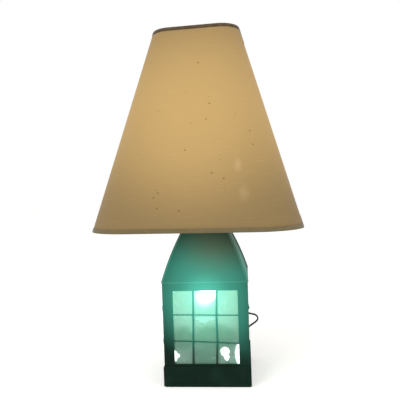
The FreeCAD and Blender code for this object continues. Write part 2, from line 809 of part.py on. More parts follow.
def make_socket():
    clear = size["stem_diameter"] / 2 + size["running_gap"]
    outer = size["socket_diameter"] / 2
    skin = size["socket_sheet"]
    rise = size["socket_cap_height"]
    cap_profile = [(clear, ZERO), (outer * 0.5, ZERO), (outer, rise, outer * 1.1),
                   (outer - skin, rise), (outer * 0.5 - skin, skin, -outer * 1.1), (clear, skin)]
    keep("socket_cap", turned("SocketCap", cap_profile, z=nut_top))
    shell_foot = nut_top + rise
    tall = size["socket_shell_height"]
    shell = turned("SocketShell", [(outer - skin, ZERO), (outer, ZERO), (outer, tall),
                                   (outer - skin, tall)], z=shell_foot)
    knob_height = size["core_height"] / 2
    clear_shaft = size["knob_shaft"] / 2 + size["running_gap"]
    drill = rod(size["knob_shaft"] + size["loose_gap"] * 2, outer * 2, 0, 0, shell_foot + knob_height,
                X_AXIS, 90)
    keep("socket_shell", cut(shell, [drill], "SocketShellCut"))
    core_top = size["core_height"]
    core_wide = size["core_diameter"] / 2
    core = turned("SocketCore", [(ZERO, ZERO), (core_wide, ZERO), (core_wide, core_top),
                                 (ZERO, core_top)], z=shell_foot)
    bore = rod(clear_shaft * 2, core_wide * 2, 0, -core_wide / 2, shell_foot + knob_height, X_AXIS, 90)
    keep("socket_core", cut(core, [bore], "SocketCoreCut"))

    shaft = size["knob_shaft"] / 2
    knob = size["knob_diameter"] / 2
    reach = outer - core_wide / 2 + size["loose_gap"] * 4
    total = reach + size["knob_length"]
    knob_profile = [(ZERO, size["loose_gap"]), (shaft, size["loose_gap"]), (shaft, reach), (knob * 0.7, reach),
                    (knob, reach + knob * 0.5), (knob, total - knob * 0.3), (knob * 0.7, total),
                    (ZERO, total)]
    knob_body = turned("SwitchKnob", knob_profile, 0, -core_wide / 2, shell_foot + knob_height, X_AXIS, 90)
    keep("switch_knob", knob_body)

    cap = size["bulb_cap_diameter"] / 2
    deep = size["bulb_cap_length"]
    cap_foot = shell_foot + size["core_height"]
    bulb_cap = [(ZERO, ZERO), (cap * 0.45, ZERO), (cap, deep * 0.3), (cap, deep), (ZERO, deep)]
    keep("bulb_cap", turned("BulbCap", bulb_cap, z=cap_foot))
    wide = size["bulb_diameter"] / 2
    long = size["bulb_length"]
    neck = cap * 0.95
    middle = long - wide
    wall = size["bulb_wall"]
    glass = [(neck - wall, ZERO), (neck, ZERO), (neck, long * 0.12), (wide, middle, -long * 1.6),
             (ZERO, long, wide), (ZERO, long - wall), (wide - wall, middle, wall - wide),
             (neck - wall, long * 0.12, long * 1.6)]
    keep("bulb_glass", turned("BulbGlass", glass, z=cap_foot + deep))


# ---------------------------------------------------------------- harp, finial and shade

def make_harp():
    foot = size["harp_foot"] / 2
    wall = size["saddle_thick"]
    wide = size["saddle_width"] / 2
    post = size["harp_post"]
    clear = size["stem_diameter"] + size["running_gap"] * 2
    strip = padded("SaddleStrip", wall, rectangle(foot + wide, wide), [(0, 0, clear)], z=neck_top)
    pegs = [rod(size["harp_wire_diameter"], post, x, 0, saddle_top) for x in (-foot, foot)]
    keep("harp_saddle", fuse([strip] + pegs, "HarpSaddle"))

    inner = size["harp_wire_diameter"] / 2 + size["running_gap"]
    outer = size["ferrule_diameter"] / 2
    tall = size["ferrule_height"]
    ring = [(inner, ZERO), (outer, ZERO), (outer, tall * 0.9), (outer * 0.8, tall), (inner, tall)]
    ferrules = [turned(f"Ferrule{i}", ring, x, 0, saddle_top) for i, x in enumerate((-foot, foot))]
    keep("harp_ferrules", group(ferrules, "HarpFerrules"))

    # the wire: up out of each ferrule, out to its widest, and in to the seat
    x0, x1 = foot.value, size["harp_width"].value / 2
    z0 = (saddle_top + post).value
    z1 = (seat_height - size["harp_seat_thick"]).value
    rise = z1 - z0
    crown = size["harp_wire_diameter"].value / 2
    side = [(x0, z0), (x0, z0 + rise * 0.05), (x1, z0 + rise * 0.32), (x1, z0 + rise * 0.62),
            (x1 * 0.62, z1 - rise * 0.07), (x1 * 0.2, z1 - crown)]
    route = [(-x, 0, z) for x, z in side] + [(x, 0, z) for x, z in reversed(side)]
    wire, _ = rounded_path(route)
    bow = shape_feature("HarpBow", tube_along(wire, size["harp_wire_diameter"].value))
    seat = rod(size["harp_seat"], size["harp_seat_thick"], 0, 0, seat_height - size["harp_seat_thick"])
    hub = rod(size["stud_diameter"], size["harp_wire_diameter"] + size["harp_seat_thick"], 0, 0,
              seat_height - size["harp_seat_thick"] * 2 - size["harp_wire_diameter"])
    stud = rod(size["stud_diameter"], size["stud_height"], 0, 0, seat_height)
    keep("harp_wire", fuse([bow, seat, hub, stud], "HarpWire"))


def make_finial():
    bore = size["stud_diameter"] / 2 + size["running_gap"]
    deep = size["stud_height"] - size["hub_thick"] + size["loose_gap"]
    wide = size["finial_diameter"] / 2
    tall = size["finial_height"]
    # the ball's middle is on the axis: it starts 0.6 of its radius out and 0.8 of its radius below
    profile = [(bore, ZERO), (wide * 0.8, ZERO), (wide * 0.8, tall * 0.1), (wide * 0.5, tall * 0.2),
               (wide * 0.5, tall - wide * 2), (wide * 0.6, tall - wide * 1.8), (ZERO, tall, wide),
               (ZERO, deep), (bore, deep)]
    keep("finial", turned("Finial", profile, z=seat_height + size["hub_thick"] + size["running_gap"]))


def ring_wire(name, half, corner):
    """A round wire bent to a rounded square."""
    body = new_body(name)
    path = new_sketch(body, "XY_Plane")
    outline(path, rounded_square(half, corner))
    section = new_sketch(body, "XZ_Plane")
    circle_outline(section, half, 0, size["ring_wire_diameter"])
    pipe = body.newObject("PartDesign::AdditivePipe", f"{name}Pipe")
    pipe.Profile = section
    pipe.Spine = path
    body.Tip = pipe
    return body


def make_shade():
    bottom_half, bottom_corner = size["shade_bottom_width"] / 2, size["shade_bottom_corner"]
    top_half, top_corner = size["shade_top_width"] / 2, size["shade_top_corner"]
    tall = size["shade_height"]
    skin = size["shade_skin_thick"]
    slope = (bottom_half - top_half).value / tall.value
    corner_slope = (bottom_corner - top_corner).value / tall.value

    def turn(piece, height):
        return move_to(piece, 0, 0, height, Z_AXIS, size["shade_turn"].value)

    body = lofted("ShadeSkin", [(ZERO, bottom_half, bottom_corner), (tall, top_half, top_corner)],
                  [(ZERO, bottom_half - skin, bottom_corner - skin), (tall, top_half - skin, top_corner - skin)])
    keep("shade_skin", turn(body, shade_bottom))

    band = size["trim_height"]
    gap = size["running_gap"]
    for label, foot_half, foot_corner, z in (
            ("shade_bottom_trim", bottom_half, bottom_corner, shade_bottom),
            ("shade_top_trim", top_half + band * slope, top_corner + band * corner_slope, shade_top - band)):
        inner, corner = foot_half + gap, foot_corner + gap
        head, head_corner = inner - band * slope, corner - band * corner_slope
        tape = size["trim_thick"]
        trim = lofted(label, [(ZERO, inner + tape, corner + tape), (band, head + tape, head_corner + tape)],
                      [(ZERO, inner, corner), (band, head, head_corner)])
        keep(label, turn(trim, z))

    # each ring wire lies against the skin's inner face, which leans in above the ring's middle
    low = size["ring_wire_diameter"] / 2
    inset = skin + low + size["loose_gap"]
    above = low + size["loose_gap"]
    bottom_ring = ring_wire("BottomRing", bottom_half - inset - above * slope,
                            bottom_corner - inset - above * corner_slope)
    keep("shade_bottom_ring", turn(bottom_ring, shade_bottom + above))

    ring_half = top_half - inset + above * slope
    ring_height = shade_top - above
    top_ring = ring_wire("TopRing", ring_half, top_corner - inset + above * corner_slope)
    move_to(top_ring, 0, 0, ring_height)
    hub = padded("ShadeHub", size["hub_thick"], ("circle", size["hub_diameter"]),
                 [(0, 0, size["stud_diameter"] + size["loose_gap"] * 2)], z=seat_height)
    keep("shade_hub", hub)
    arms = []
    hub_reach = size["hub_diameter"].value / 2
    arm_height = (seat_height + size["hub_thick"] / 2).value
    reach = ring_half.value
    for number in range(4):
        way = FreeCAD.Vector(math.cos(math.pi / 2 * number), math.sin(math.pi / 2 * number), 0)
        lift = Z_AXIS * (ring_height.value - arm_height)
        foot = way * hub_reach + Z_AXIS * arm_height
        points = [foot, way * (hub_reach + (reach - hub_reach) * 0.35) + Z_AXIS * arm_height,
                  way * (reach * 0.86) + Z_AXIS * arm_height + lift, way * reach + Z_AXIS * ring_height.value]
        wire_path, _ = rounded_path(points)
        arms.append(shape_feature(f"Arm{number}", tube_along(wire_path, size["arm_diameter"].value)))
    fitter = fuse([top_ring] + arms, "ShadeFitter")
    fitter.Placement = FreeCAD.Placement(FreeCAD.Vector(), FreeCAD.Rotation(Z_AXIS, size["shade_turn"].value))
    keep("shade_fitter", fitter)


# ---------------------------------------------------------------- flex

def coil_point(turns):
    """Place and direction of the coil's middle line, clockwise from its front, inwards below and outwards
    above, with a half turn of climb between."""
    inner, pitch = size["coil_inner"].value, size["coil_pitch"].value
    low, layer = size["coil_lift"].value, size["coil_layer"].value
    if turns <= COIL_TURNS:
        radius, growth, height, climb = inner + pitch * (COIL_TURNS - turns), -pitch, low, 0.0
    elif turns <= COIL_TURNS + 0.5:
        share = (turns - COIL_TURNS) / 0.5
        radius, growth = inner, 0.0
        height = low + layer * (3 * share ** 2 - 2 * share ** 3)
        climb = layer * (6 * share - 6 * share ** 2) / 0.5
    else:
        radius, growth = inner + pitch * (turns - COIL_TURNS - 0.5), pitch
        height, climb = low + layer, 0.0
    angle = -math.pi / 2 - 2 * math.pi * turns
    out = FreeCAD.Vector(math.cos(angle), math.sin(angle), 0)
    onward = FreeCAD.Vector(math.sin(angle), -math.cos(angle), 0)
    centre = FreeCAD.Vector(size["coil_x"].value, size["coil_y"].value, 0)
    place = centre + out * radius + Z_AXIS * height
    at_end = turns in (0, 2 * COIL_TURNS + 0.5)
    way = onward if at_end else onward * (2 * math.pi * radius) + out * growth + Z_AXIS * climb
    return place, way.normalize()


def least_gap(path, diameter):
    """The least space between the turns, measured on points a third of a diameter apart."""
    step = diameter / 3
    points = path.discretize(Distance=step)
    apart = int(math.pi * diameter / step) + 2
    least = 1e9
    for i, p in enumerate(points):
        for q in points[i + apart:]:
            least = min(least, (p - q).Length)
    return least - diameter


def make_coil():
    diameter = size["cord_diameter"].value
    quarters = [i / 4 for i in range(8 * COIL_TURNS + 3)]
    stations = [coil_point(t) for t in quarters]
    first, last = stations[0], stations[-1]
    start = first[0] - first[1] * diameter
    stop = last[0] + last[1] * size["coil_tail"].value
    edges = [Part.LineSegment(start, first[0]).toShape()]
    for (p, p_way), (q, q_way) in zip(stations, stations[1:]):
        edges += biarc(p, p_way, q, q_way)
    edges.append(Part.LineSegment(last[0], stop).toShape())
    path = Part.Wire(edges)
    coil = shape_feature("CordCoil", tube_along(path, diameter))
    keep("cord_coil", coil)
    section = math.pi * diameter ** 2 / 4
    print("coil length", round(path.Length, 1), "volume ratio",
          round(coil.Shape.Volume / (section * path.Length), 4))
    print("coil least gap to itself", round(least_gap(path, diameter), 2))

    inner = size["coil_inner"] - size["cord_diameter"]
    outer = size["coil_inner"] + size["coil_pitch"] * COIL_TURNS + size["cord_diameter"]
    top = size["coil_lift"] * 2 + size["coil_layer"]
    half = size["tie_width"] / 2
    edge = size["tie_thick"]
    x, y = size["coil_x"], size["coil_y"]
    band = box(x - outer, x - inner, y - half, y + half, edge * 0.25, top + edge)
    hollow = box(x - outer + edge, x - inner - edge, y - half - 1, y + half + 1, edge * 1.25, top)
    keep("cord_tie", cut(band, [hollow], "CordTie"))
    return start


def make_free_cord(coil_start):
    diameter = size["cord_diameter"].value
    mouth = (case_half + size["bushing_length"]).value
    x, z = size["bushing_x"].value, size["bushing_z"].value
    # straight out of the bushing, round the loop that shows beside the case, and down to the coil
    route = [
        (x, mouth, z),
        (x, mouth + 8.5, z),
        (55.5, 99.0, 70.8),
        (65.0, 100.2, 66.4),
        (75.3, 100.0, 64.9),
        (79.7, 100.0, 60.0),
        (78.9, 100.0, 53.7),
        (68.4, 101.0, 46.4),
        (52.0, 103.5, 33.8),
        (32.0, 108.5, 16.0),
        (15.5, 115.6, 4.4),
        tuple(coil_start + X_AXIS * 13),
        tuple(coil_start),
    ]
    wire, radii = rounded_path(route)
    tube = shape_feature("CordFree", tube_along(wire, diameter))
    keep("cord_free", tube)
    section = math.pi * diameter ** 2 / 4
    print("free cord length", round(wire.Length, 1), "radii", [round(r, 1) for r in radii],
          "volume ratio", round(tube.Shape.Volume / (section * wire.Length), 4))


def make_bushing():
    flange = size["bushing_flange"] / 2
    stem = flange / 2
    tip = size["cord_diameter"] / 2 + size["loose_gap"] * 2
    inside = size["sheet"] * 2
    long = size["bushing_length"]
    profile = [(ZERO, -inside), (stem, -inside), (stem, ZERO), (flange, ZERO),
               (flange, size["sheet"] * 1.5), (stem, size["sheet"] * 3), (tip, long), (ZERO, long)]
    bushing = turned("CordBushing", profile, size["bushing_x"], case_half, size["bushing_z"], X_AXIS, -90)
    keep("cord_bushing", bushing)


def make_inner_lead():
    """The lead inside the case: up the corner behind the door's stile, under the roof and to the socket."""
    diameter = size["cord_diameter"].value
    x = size["bushing_x"].value
    y = (case_half - size["sheet"] * 2).value
    z = size["bushing_z"].value
    top = size["stem_bottom"].value - 5
    rise = top - z
    edge = (size["night_socket_diameter"] / 2).value
    route = [(x, y, z), (x, y - 8, z), (x + 1.5, y - 8.5, z + rise * 0.12), (x + 2, y - 9, z + rise * 0.36),
             (x - 3, y - 11, z + rise * 0.73), (edge + 23, y * 0.6, z + rise * 0.97), (edge + 12, 0, top),
             (edge, 0, top)]
    wire, radii = rounded_path(route)
    keep("inner_lead", shape_feature("InnerLead", tube_along(wire, diameter)))
    print("inner lead length", round(wire.Length, 1), "radii", [round(r, 1) for r in radii])


def make_plug():
    height = size["coil_lift"] + size["coil_layer"]
    x = size["coil_x"] + size["coil_tail"]
    y = size["coil_y"] + size["coil_inner"] + size["coil_pitch"] * COIL_TURNS
    neck = size["plug_neck_diameter"] / 2
    cone = turned("PlugNeck", [(ZERO, ZERO), (size["cord_diameter"] / 2 + size["loose_gap"], ZERO),
                               (neck, size["plug_neck"]), (ZERO, size["plug_neck"])],
                  x, y, height, Y_AXIS, 90)
    start = x + size["plug_neck"]
    half = size["plug_width"] / 2
    shoulder = size["plug_length"] / 3
    block = new_body("PlugBlock")
    sketch = new_sketch(block, "XY_Plane")
    outline(sketch, [(ZERO, -half * 0.45), (shoulder, -half), (size["plug_length"], -half),
                     (size["plug_length"], half), (shoulder, half), (ZERO, half * 0.45)])
    pad = block.newObject("PartDesign::Pad", "PlugPad")
    pad.Profile = sketch
    bind(pad, "Length", height * 2)
    block.Tip = pad
    move_to(block, start, y, 0)
    round_edges(block, "Fillet", "Radius", size["plug_width"] / 10,
                lambda edge: abs(edge.tangentAt(edge.FirstParameter).z) < 0.1)
    keep("plug_body", fuse([block, cone], "PlugBody"))
    face = start + size["plug_length"]
    prongs = []
    for side in (-1, 1):
        middle = y + size["prong_spacing"] / 2 * side
        thin, wide = size["prong_thick"] / 2, size["prong_width"] / 2
        prongs.append(box(face, face + size["prong_length"], middle - thin, middle + thin,
                          height - wide, height + wide))
    keep("plug_prongs", group(prongs, "PlugProngs"))


make_base()
make_case()
make_roof()
make_door()
make_side_windows()
make_hinges()
make_stem()
make_night_light()
make_socket()
make_harp()
make_finial()
make_shade()
make_bushing()
make_free_cord(make_coil())
make_inner_lead()
make_plug()

doc.recompute()
for item in doc.Objects:
    if "Invalid" in item.State or "Error" in item.State:
        raise RuntimeError(f"{item.Label} failed: {item.State}")
os.makedirs("parts", exist_ok=True)
for item in sub_parts:
    shape = item.Shape
    if shape.isNull() or not shape.isValid() or not shape.Solids:
        raise RuntimeError(f"{item.Label} has no valid solid")
    shape.exportStep(f"parts/{item.Label}.step")
print(len(sub_parts), "sub-parts written")
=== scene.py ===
# %% [markdown]
# A table lamp whose base is a small sheet-metal lantern. Both its lights are on: a bulb under the tall square
# shade, and a small one hanging in the lantern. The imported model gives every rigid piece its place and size.
# This file dresses it: it gives each piece the finish of the real one, and builds the soft pieces again.

import math

import bmesh
import bpy
from mathutils import Matrix, Vector


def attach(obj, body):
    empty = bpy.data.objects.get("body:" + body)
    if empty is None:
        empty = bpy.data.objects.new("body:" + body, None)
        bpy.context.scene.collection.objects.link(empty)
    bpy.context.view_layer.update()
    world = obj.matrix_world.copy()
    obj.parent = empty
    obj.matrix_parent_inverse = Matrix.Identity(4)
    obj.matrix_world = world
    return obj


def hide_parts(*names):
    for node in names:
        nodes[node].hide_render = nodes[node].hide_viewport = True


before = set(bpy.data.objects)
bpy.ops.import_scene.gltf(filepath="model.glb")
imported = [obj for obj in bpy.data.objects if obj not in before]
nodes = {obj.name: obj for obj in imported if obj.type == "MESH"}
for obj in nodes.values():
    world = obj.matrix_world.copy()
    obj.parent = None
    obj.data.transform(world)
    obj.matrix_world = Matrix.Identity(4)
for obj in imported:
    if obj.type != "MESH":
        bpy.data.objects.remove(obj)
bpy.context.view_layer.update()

# %% [markdown]
# The camera comes first, because everything is judged through it. It was fitted to the edges of the shade,
# the case and its window in the photograph: nearly level, a little to the right, 0.8 m away.

# %% Camera
CAMERA_PLACE = Vector((0.062381, -0.797965, 0.3012))
CAMERA_RIGHT = Vector((0.99567109, 0.08690512, -0.03296318))
CAMERA_UP = Vector((0.02998186, 0.03539064, 0.99892372))
CAMERA_BACK = CAMERA_RIGHT.cross(CAMERA_UP).normalized()

camera_data = bpy.data.cameras.new("photo_camera")
camera_data.lens = 45.405
camera_data.sensor_width = 36
camera = bpy.data.objects.new("photo_camera", camera_data)
bpy.context.scene.collection.objects.link(camera)
turn = Matrix((CAMERA_RIGHT, CAMERA_UP, CAMERA_BACK)).transposed()
camera.matrix_world = Matrix.Translation(CAMERA_PLACE) @ turn.to_4x4()
bpy.context.scene.camera = camera
print("camera", [round(v, 3) for v in CAMERA_PLACE])

# %% [markdown]
# Millimetres are the maker's unit, and Blender's is the metre. One function turns millimetres into a place,
# one makes an object of a finished mesh, and one lays a skin over rings of points, as most pieces here need.

# %% Helpers for places and meshes
MM = 0.001


def at(x, y, z):
    """A place in the row frame, from millimetres."""
    return Vector((x, y, z)) * MM


def make_piece(name, body, verts, faces, smooth=True):
    """A mesh object that rides on a CAD body."""
    mesh = bpy.data.meshes.new(name)
    mesh.from_pydata([tuple(v) for v in verts], [], faces)
    mesh.validate()
    work = bmesh.new()
    work.from_mesh(mesh)
    bmesh.ops.recalc_face_normals(work, faces=work.faces)
    work.to_mesh(mesh)
    work.free()
    for polygon in mesh.polygons:
        polygon.use_smooth = smooth
    piece = bpy.data.objects.new(name, mesh)
    bpy.context.scene.collection.objects.link(piece)
    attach(piece, body)
    return piece


def skinned(rings, loop=False):
    """Vertices and faces of a skin over equal rings. It has end caps, or with loop it closes on itself."""
    count = len(rings[0])
    verts = [v for ring in rings for v in ring]
    faces = []
    for i in range(len(rings) if loop else len(rings) - 1):
        a, b = i * count, (i + 1) % len(rings) * count
        for j in range(count):
            k = (j + 1) % count
            faces.append((a + j, a + k, b + k, b + j))
    if not loop:
        faces.append(tuple(range(count)))
        faces.append(tuple(range(len(verts) - count, len(verts))))
    return verts, faces


print("one millimetre is", MM, "m")

# %% [markdown]
# The flex is flat twin flex: two insulated wires side by side, 5.4 mm wide and 2.7 mm thick. A flat flex
# bends only across its thin side, so it turns its width along the axis of each bend. Its line is one NURBS
# spline, and the two round lobes are swept along the points that Blender reads from it.

# %% Line and section of the flex
FLEX_THICK = 2.7 * MM


def spline_line(name, points, fineness):
    """The points that Blender reads from a NURBS spline with these control points."""
    curve = bpy.data.curves.new(name, "CURVE")
    curve.dimensions = "3D"
    curve.resolution_u = fineness
    spline = curve.splines.new("NURBS")
    spline.points.add(len(points) - 1)
    for control, place in zip(spline.points, points):
        control.co = (*place, 1)
    spline.order_u = 3
    spline.use_endpoint_u = True
    holder = bpy.data.objects.new(name, curve)
    bpy.context.scene.collection.objects.link(holder)
    bpy.context.view_layer.update()
    mesh = bpy.data.meshes.new_from_object(holder)
    line = [v.co.copy() for v in mesh.vertices]
    bpy.data.objects.remove(holder)
    bpy.data.meshes.remove(mesh)
    return line


def distances(line):
    """How far along the line each of its points lies."""
    along = [0.0]
    for p, q in zip(line, line[1:]):
        along.append(along[-1] + (q - p).length)
    return along


def flex_section():
    """Outline of two lobes with a groove between them, as (across the width, across the thickness)."""
    lobe = FLEX_THICK / 2
    right = [math.radians(-120 + 30 * i) for i in range(9)]
    left = [math.radians(60 + 30 * i) for i in range(9)]
    outline = [(lobe + lobe * math.cos(a), lobe * math.sin(a)) for a in right]
    return outline + [(-lobe + lobe * math.cos(a), lobe * math.sin(a)) for a in left]


def sweep(line, section, width_at):
    """Rings of the section along the line; width_at gives the way its width lies, by distance."""
    along = distances(line)
    rings = []
    for i, place in enumerate(line):
        onward = (line[min(i + 1, len(line) - 1)] - line[max(i - 1, 0)]).normalized()
        width = width_at(along[i])
        width = (width - onward * width.dot(onward)).normalized()
        thick = onward.cross(width)
        rings.append([place + width * a + thick * b for a, b in section])
    return rings


def eased(value, low, high):
    """0 below low and 1 above high, with a smooth way between them."""
    share = min(max((value - low) / (high - low), 0.0), 1.0)
    return share * share * (3 - 2 * share)


print("points round the flex", len(flex_section()))

# %% [markdown]
# The photograph shows only the loop beside the case. The flex leaves the back through a moulded bushing,
# makes that loop, and runs down behind the lantern, where the rest is put away as a neat round coil. The
# coil's turns are more points of the same spline: sixteen a turn, in two layers.

# %% Route of the flex
free_route = [
    at(50, 83.5, 74), at(50, 92, 74), at(55.5, 99, 70.8), at(65, 100.2, 66.4), at(75.3, 100, 64.9),
    at(79.7, 100, 60), at(78.9, 100, 53.7), at(68.4, 101, 46.4), at(52, 103.5, 33.8), at(32, 108.5, 16),
    at(15.5, 115.6, 4.7), at(2, 119.8, 3.4), at(-11, 119.8, 3.4),
]
COIL_CENTRE = at(-15, 160, 0)
COIL_INNER, COIL_PITCH = 19.4 * MM, 5.2 * MM
COIL_LOW, COIL_LAYER = 3.4 * MM, 5.5 * MM
TURNS_PER_LAYER, CLIMB_TURNS = 4, 0.5
POINTS_A_TURN = 16
# a spline runs inside its control points, so these stand out by as much
STAND_OUT = 1 / math.cos(math.pi / POINTS_A_TURN)


def coil_place(turns):
    """A control point of the coil: inwards in the lower layer, up, and outwards in the upper one."""
    climb = eased(turns, TURNS_PER_LAYER, TURNS_PER_LAYER + CLIMB_TURNS)
    if turns < TURNS_PER_LAYER:
        radius = COIL_INNER + COIL_PITCH * (TURNS_PER_LAYER - turns)
    else:
        radius = COIL_INNER + COIL_PITCH * max(turns - TURNS_PER_LAYER - CLIMB_TURNS, 0.0)
    angle = -math.pi / 2 - 2 * math.pi * turns
    out = Vector((math.cos(angle), math.sin(angle), 0))
    lift = COIL_LOW + COIL_LAYER * climb
    return COIL_CENTRE + out * radius * STAND_OUT + Vector((0, 0, lift))


all_turns = 2 * TURNS_PER_LAYER + CLIMB_TURNS
coil_route = [coil_place(i / POINTS_A_TURN) for i in range(1, int(all_turns * POINTS_A_TURN))]
coil_end = COIL_CENTRE + Vector((0, COIL_INNER + COIL_PITCH * TURNS_PER_LAYER, COIL_LOW + COIL_LAYER))
# the plug lies on the floor beside the coil: this is the height of its middle
PLUG_MIDDLE, PLUG_REACH = 8.4 * MM, 12 * MM
plug_start = Vector((coil_end.x + PLUG_REACH, coil_end.y, PLUG_MIDDLE))
flex_line = spline_line("flex_line", free_route + coil_route + [coil_end, plug_start], 5)

# %% Flex
X_WAY, Y_WAY, Z_WAY = Vector((1, 0, 0)), Vector((0, 1, 0)), Vector((0, 0, 1))
# distances from the bushing at which the flex lies over for the loop and stands up again for the coil
LIES_OVER, LOOP_MIDDLE, STANDS_UP = (6 * MM, 24 * MM), 60 * MM, (90 * MM, 150 * MM)


def flex_width_at(distance):
    """On edge out of the bushing, level round the loop, and on edge again in the coil."""
    if distance < LOOP_MIDDLE:
        return Z_WAY.lerp(Y_WAY, eased(distance, *LIES_OVER))
    return Y_WAY.lerp(Z_WAY, eased(distance, *STANDS_UP))


flex = make_piece("twin_flex", "lantern", *skinned(sweep(flex_line, flex_section(), flex_width_at)))
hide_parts("cord_free", "cord_coil")
print("flex faces", len(flex.data.polygons))

# %% [markdown]
# The plug is moulded onto the flex in one piece: a thin neck with grooves that let it bend, then a body that
# widens to a grip. The strain relief at the case is a ribbed cone on a flange. Both are lofted through
# rounded rectangles, as their moulds were cut.

# %% Moulded sections
def squared_off(wave, power):
    """A cosine or sine pushed outwards, which turns a circle into a rectangle with round corners."""
    return math.copysign(abs(wave) ** power, wave)


RING_POINTS = 24
MOULD_ROUNDING = 0.6


def rounded_ring(place, across, up, half_across, half_up):
    """A rounded rectangle, as moulded parts have."""
    ring = []
    for i in range(RING_POINTS):
        a = 2 * math.pi * i / RING_POINTS
        x = squared_off(math.cos(a), MOULD_ROUNDING) * half_across
        y = squared_off(math.sin(a), MOULD_ROUNDING) * half_up
        ring.append(place + across * x + up * y)
    return ring


GROOVES = 5


def grooved(groove, pitch, wider):
    """Grooves a pitch apart, from (distance, half width, half height, change of that) of the first one."""
    stations = []
    for i in range(GROOVES):
        stations += [(d + pitch * i, a + wider * i, b + higher * i) for d, a, b, higher in groove]
    return stations


def moulded(name, start, along, across, up, stations):
    """A moulded piece through stations of (distance, half width, half height) in millimetres."""
    rings = [rounded_ring(start + along * (d * MM), across, up, a * MM, b * MM) for d, a, b in stations]
    return make_piece(name, "lantern", *skinned(rings))


print("points round a moulding", RING_POINTS)

# %% Moulded plug and strain relief
neck = [(-0.5, 2.0, 2.9)] + grooved(
    ((1, 2.5, 3.0, 0.25), (3.2, 2.6, 3.1, 0.25), (3.4, 1.9, 2.6, 0.25), (4.4, 1.9, 2.6, 0.25)), 3.6, 0.25)
grip = [(19.4, 4.6, 4.4), (21, 7.4, 6.2), (24, 10.4, 7.5), (28, 11.6, 8.1), (33, 10.9, 7.7), (36, 11.2, 7.9),
        (42, 11.9, 8.3), (43.2, 11.7, 8.1), (43.8, 11.2, 7.6), (44, 10.4, 6.9)]
plug = moulded("moulded_plug", plug_start, X_WAY, Y_WAY, Z_WAY, neck + grip)
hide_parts("plug_body")

flange = [(-2, 3.0, 3.0), (0, 3.0, 3.0), (0.05, 5.8, 5.8), (1.0, 5.9, 5.9), (1.5, 5.4, 5.4), (2.2, 3.9, 3.9)]
cone = grooved(
    ((3.2, 3.5, 3.7, -0.12), (5.0, 3.4, 3.6, -0.12), (5.2, 2.8, 3.1, -0.1), (6.2, 2.8, 3.1, -0.1)), 3.2, -0.2)
relief = moulded("strain_relief", at(50, 63.5, 74), Y_WAY, X_WAY, Z_WAY, flange + cone + [(20, 1.9, 2.9)])
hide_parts("cord_bushing")
print("stations of the plug", len(neck + grip), "and of the strain relief", len(flange + cone) + 1)

# %% [markdown]
# A thin strap of the same vinyl holds the coil. Its solid is a square frame. Here it lies round the bundle as
# a loop with round corners.

# %% Strap round the coil
BUNDLE_HEIGHT = 6.2
BUNDLE_HALF_WIDTH, BUNDLE_HALF_HEIGHT = 13.4 * MM, 5.6 * MM
STRAP_HALF, STRAP_THICK = 2 * MM, 0.5 * MM
BUNDLE_ROUNDING, STRAP_POINTS = 0.45, 40


def strap_loop():
    """Rings of the strap's rectangular section round the bundle on the coil's left side."""
    middle = COIL_CENTRE - X_WAY * (COIL_INNER + COIL_PITCH * TURNS_PER_LAYER / 2) + at(0, 0, BUNDLE_HEIGHT)
    edge = Y_WAY * STRAP_HALF
    rings = []
    for i in range(STRAP_POINTS):
        a = 2 * math.pi * i / STRAP_POINTS
        c, s = math.cos(a), math.sin(a)
        place = (middle + X_WAY * squared_off(c, BUNDLE_ROUNDING) * BUNDLE_HALF_WIDTH
                 + Z_WAY * squared_off(s, BUNDLE_ROUNDING) * BUNDLE_HALF_HEIGHT)
        thick = Vector((c, 0, s)) * STRAP_THICK
        rings.append([place - edge, place + edge, place + edge + thick, place - edge + thick])
    return rings


strap = make_piece("coil_strap", "lantern", *skinned(strap_loop(), loop=True))
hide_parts("cord_tie")
print("strap points", len(strap.data.vertices))

# %% [markdown]
# Inside the case the same flex runs up the back corner, in the shadow of the door's stile, and into the side
# of the small lampholder.

# %% Lead inside the case
lead_route = [at(50, 61.5, 74), at(50, 53.5, 74), at(51.5, 53, 88), at(52, 52.5, 116), at(47, 50.5, 160),
              at(34, 37.5, 187), at(23, 0, 191), at(11, 0, 191)]
lead_line = spline_line("lead_line", lead_route, 10)
LEAD_WIDTH_WAY = Vector((-0.6, 0.8, 0.1))
lead = make_piece("inner_flex", "lantern",
                  *skinned(sweep(lead_line, flex_section(), lambda distance: LEAD_WIDTH_WAY)))
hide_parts("inner_lead")
print("inner lead", round(distances(lead_line)[-1], 3))

# %% [markdown]
# The shade is linen laminated on a stiff liner, rolled to a square with round corners. It narrows evenly from
# 300 mm at the bottom to 129 mm at the top, and stands 5 degrees off square on its stud. One function gives
# the outline at any height, so that cloth, tapes and seam all follow the same form.

# %% Outline of the shade
SHADE_LOW, SHADE_HIGH = 237.5, 529.8
SHADE_SPIN = Matrix.Rotation(math.radians(-5), 3, "Z")
HALF_LOW, HALF_HIGH = 150.3, 64.7
CORNER_LOW, CORNER_HIGH = 64.0, 29.0
CLOTH_THICK, CLOTH_HOLLOW = 1.0, 0.7
FLAT_POINTS, CORNER_POINTS = 10, 10


def shade_share(height):
    """How far up the shade a height lies, from 0 at the foot to 1 at the top."""
    return (height - SHADE_LOW) / (SHADE_HIGH - SHADE_LOW)


def shade_half(height):
    """Half the width of the shade at a height."""
    return HALF_LOW + (HALF_HIGH - HALF_LOW) * shade_share(height)


def cloth_dent(height):
    """How far the middle of a face draws in at a height."""
    return CLOTH_HOLLOW * math.sin(math.pi * shade_share(height))


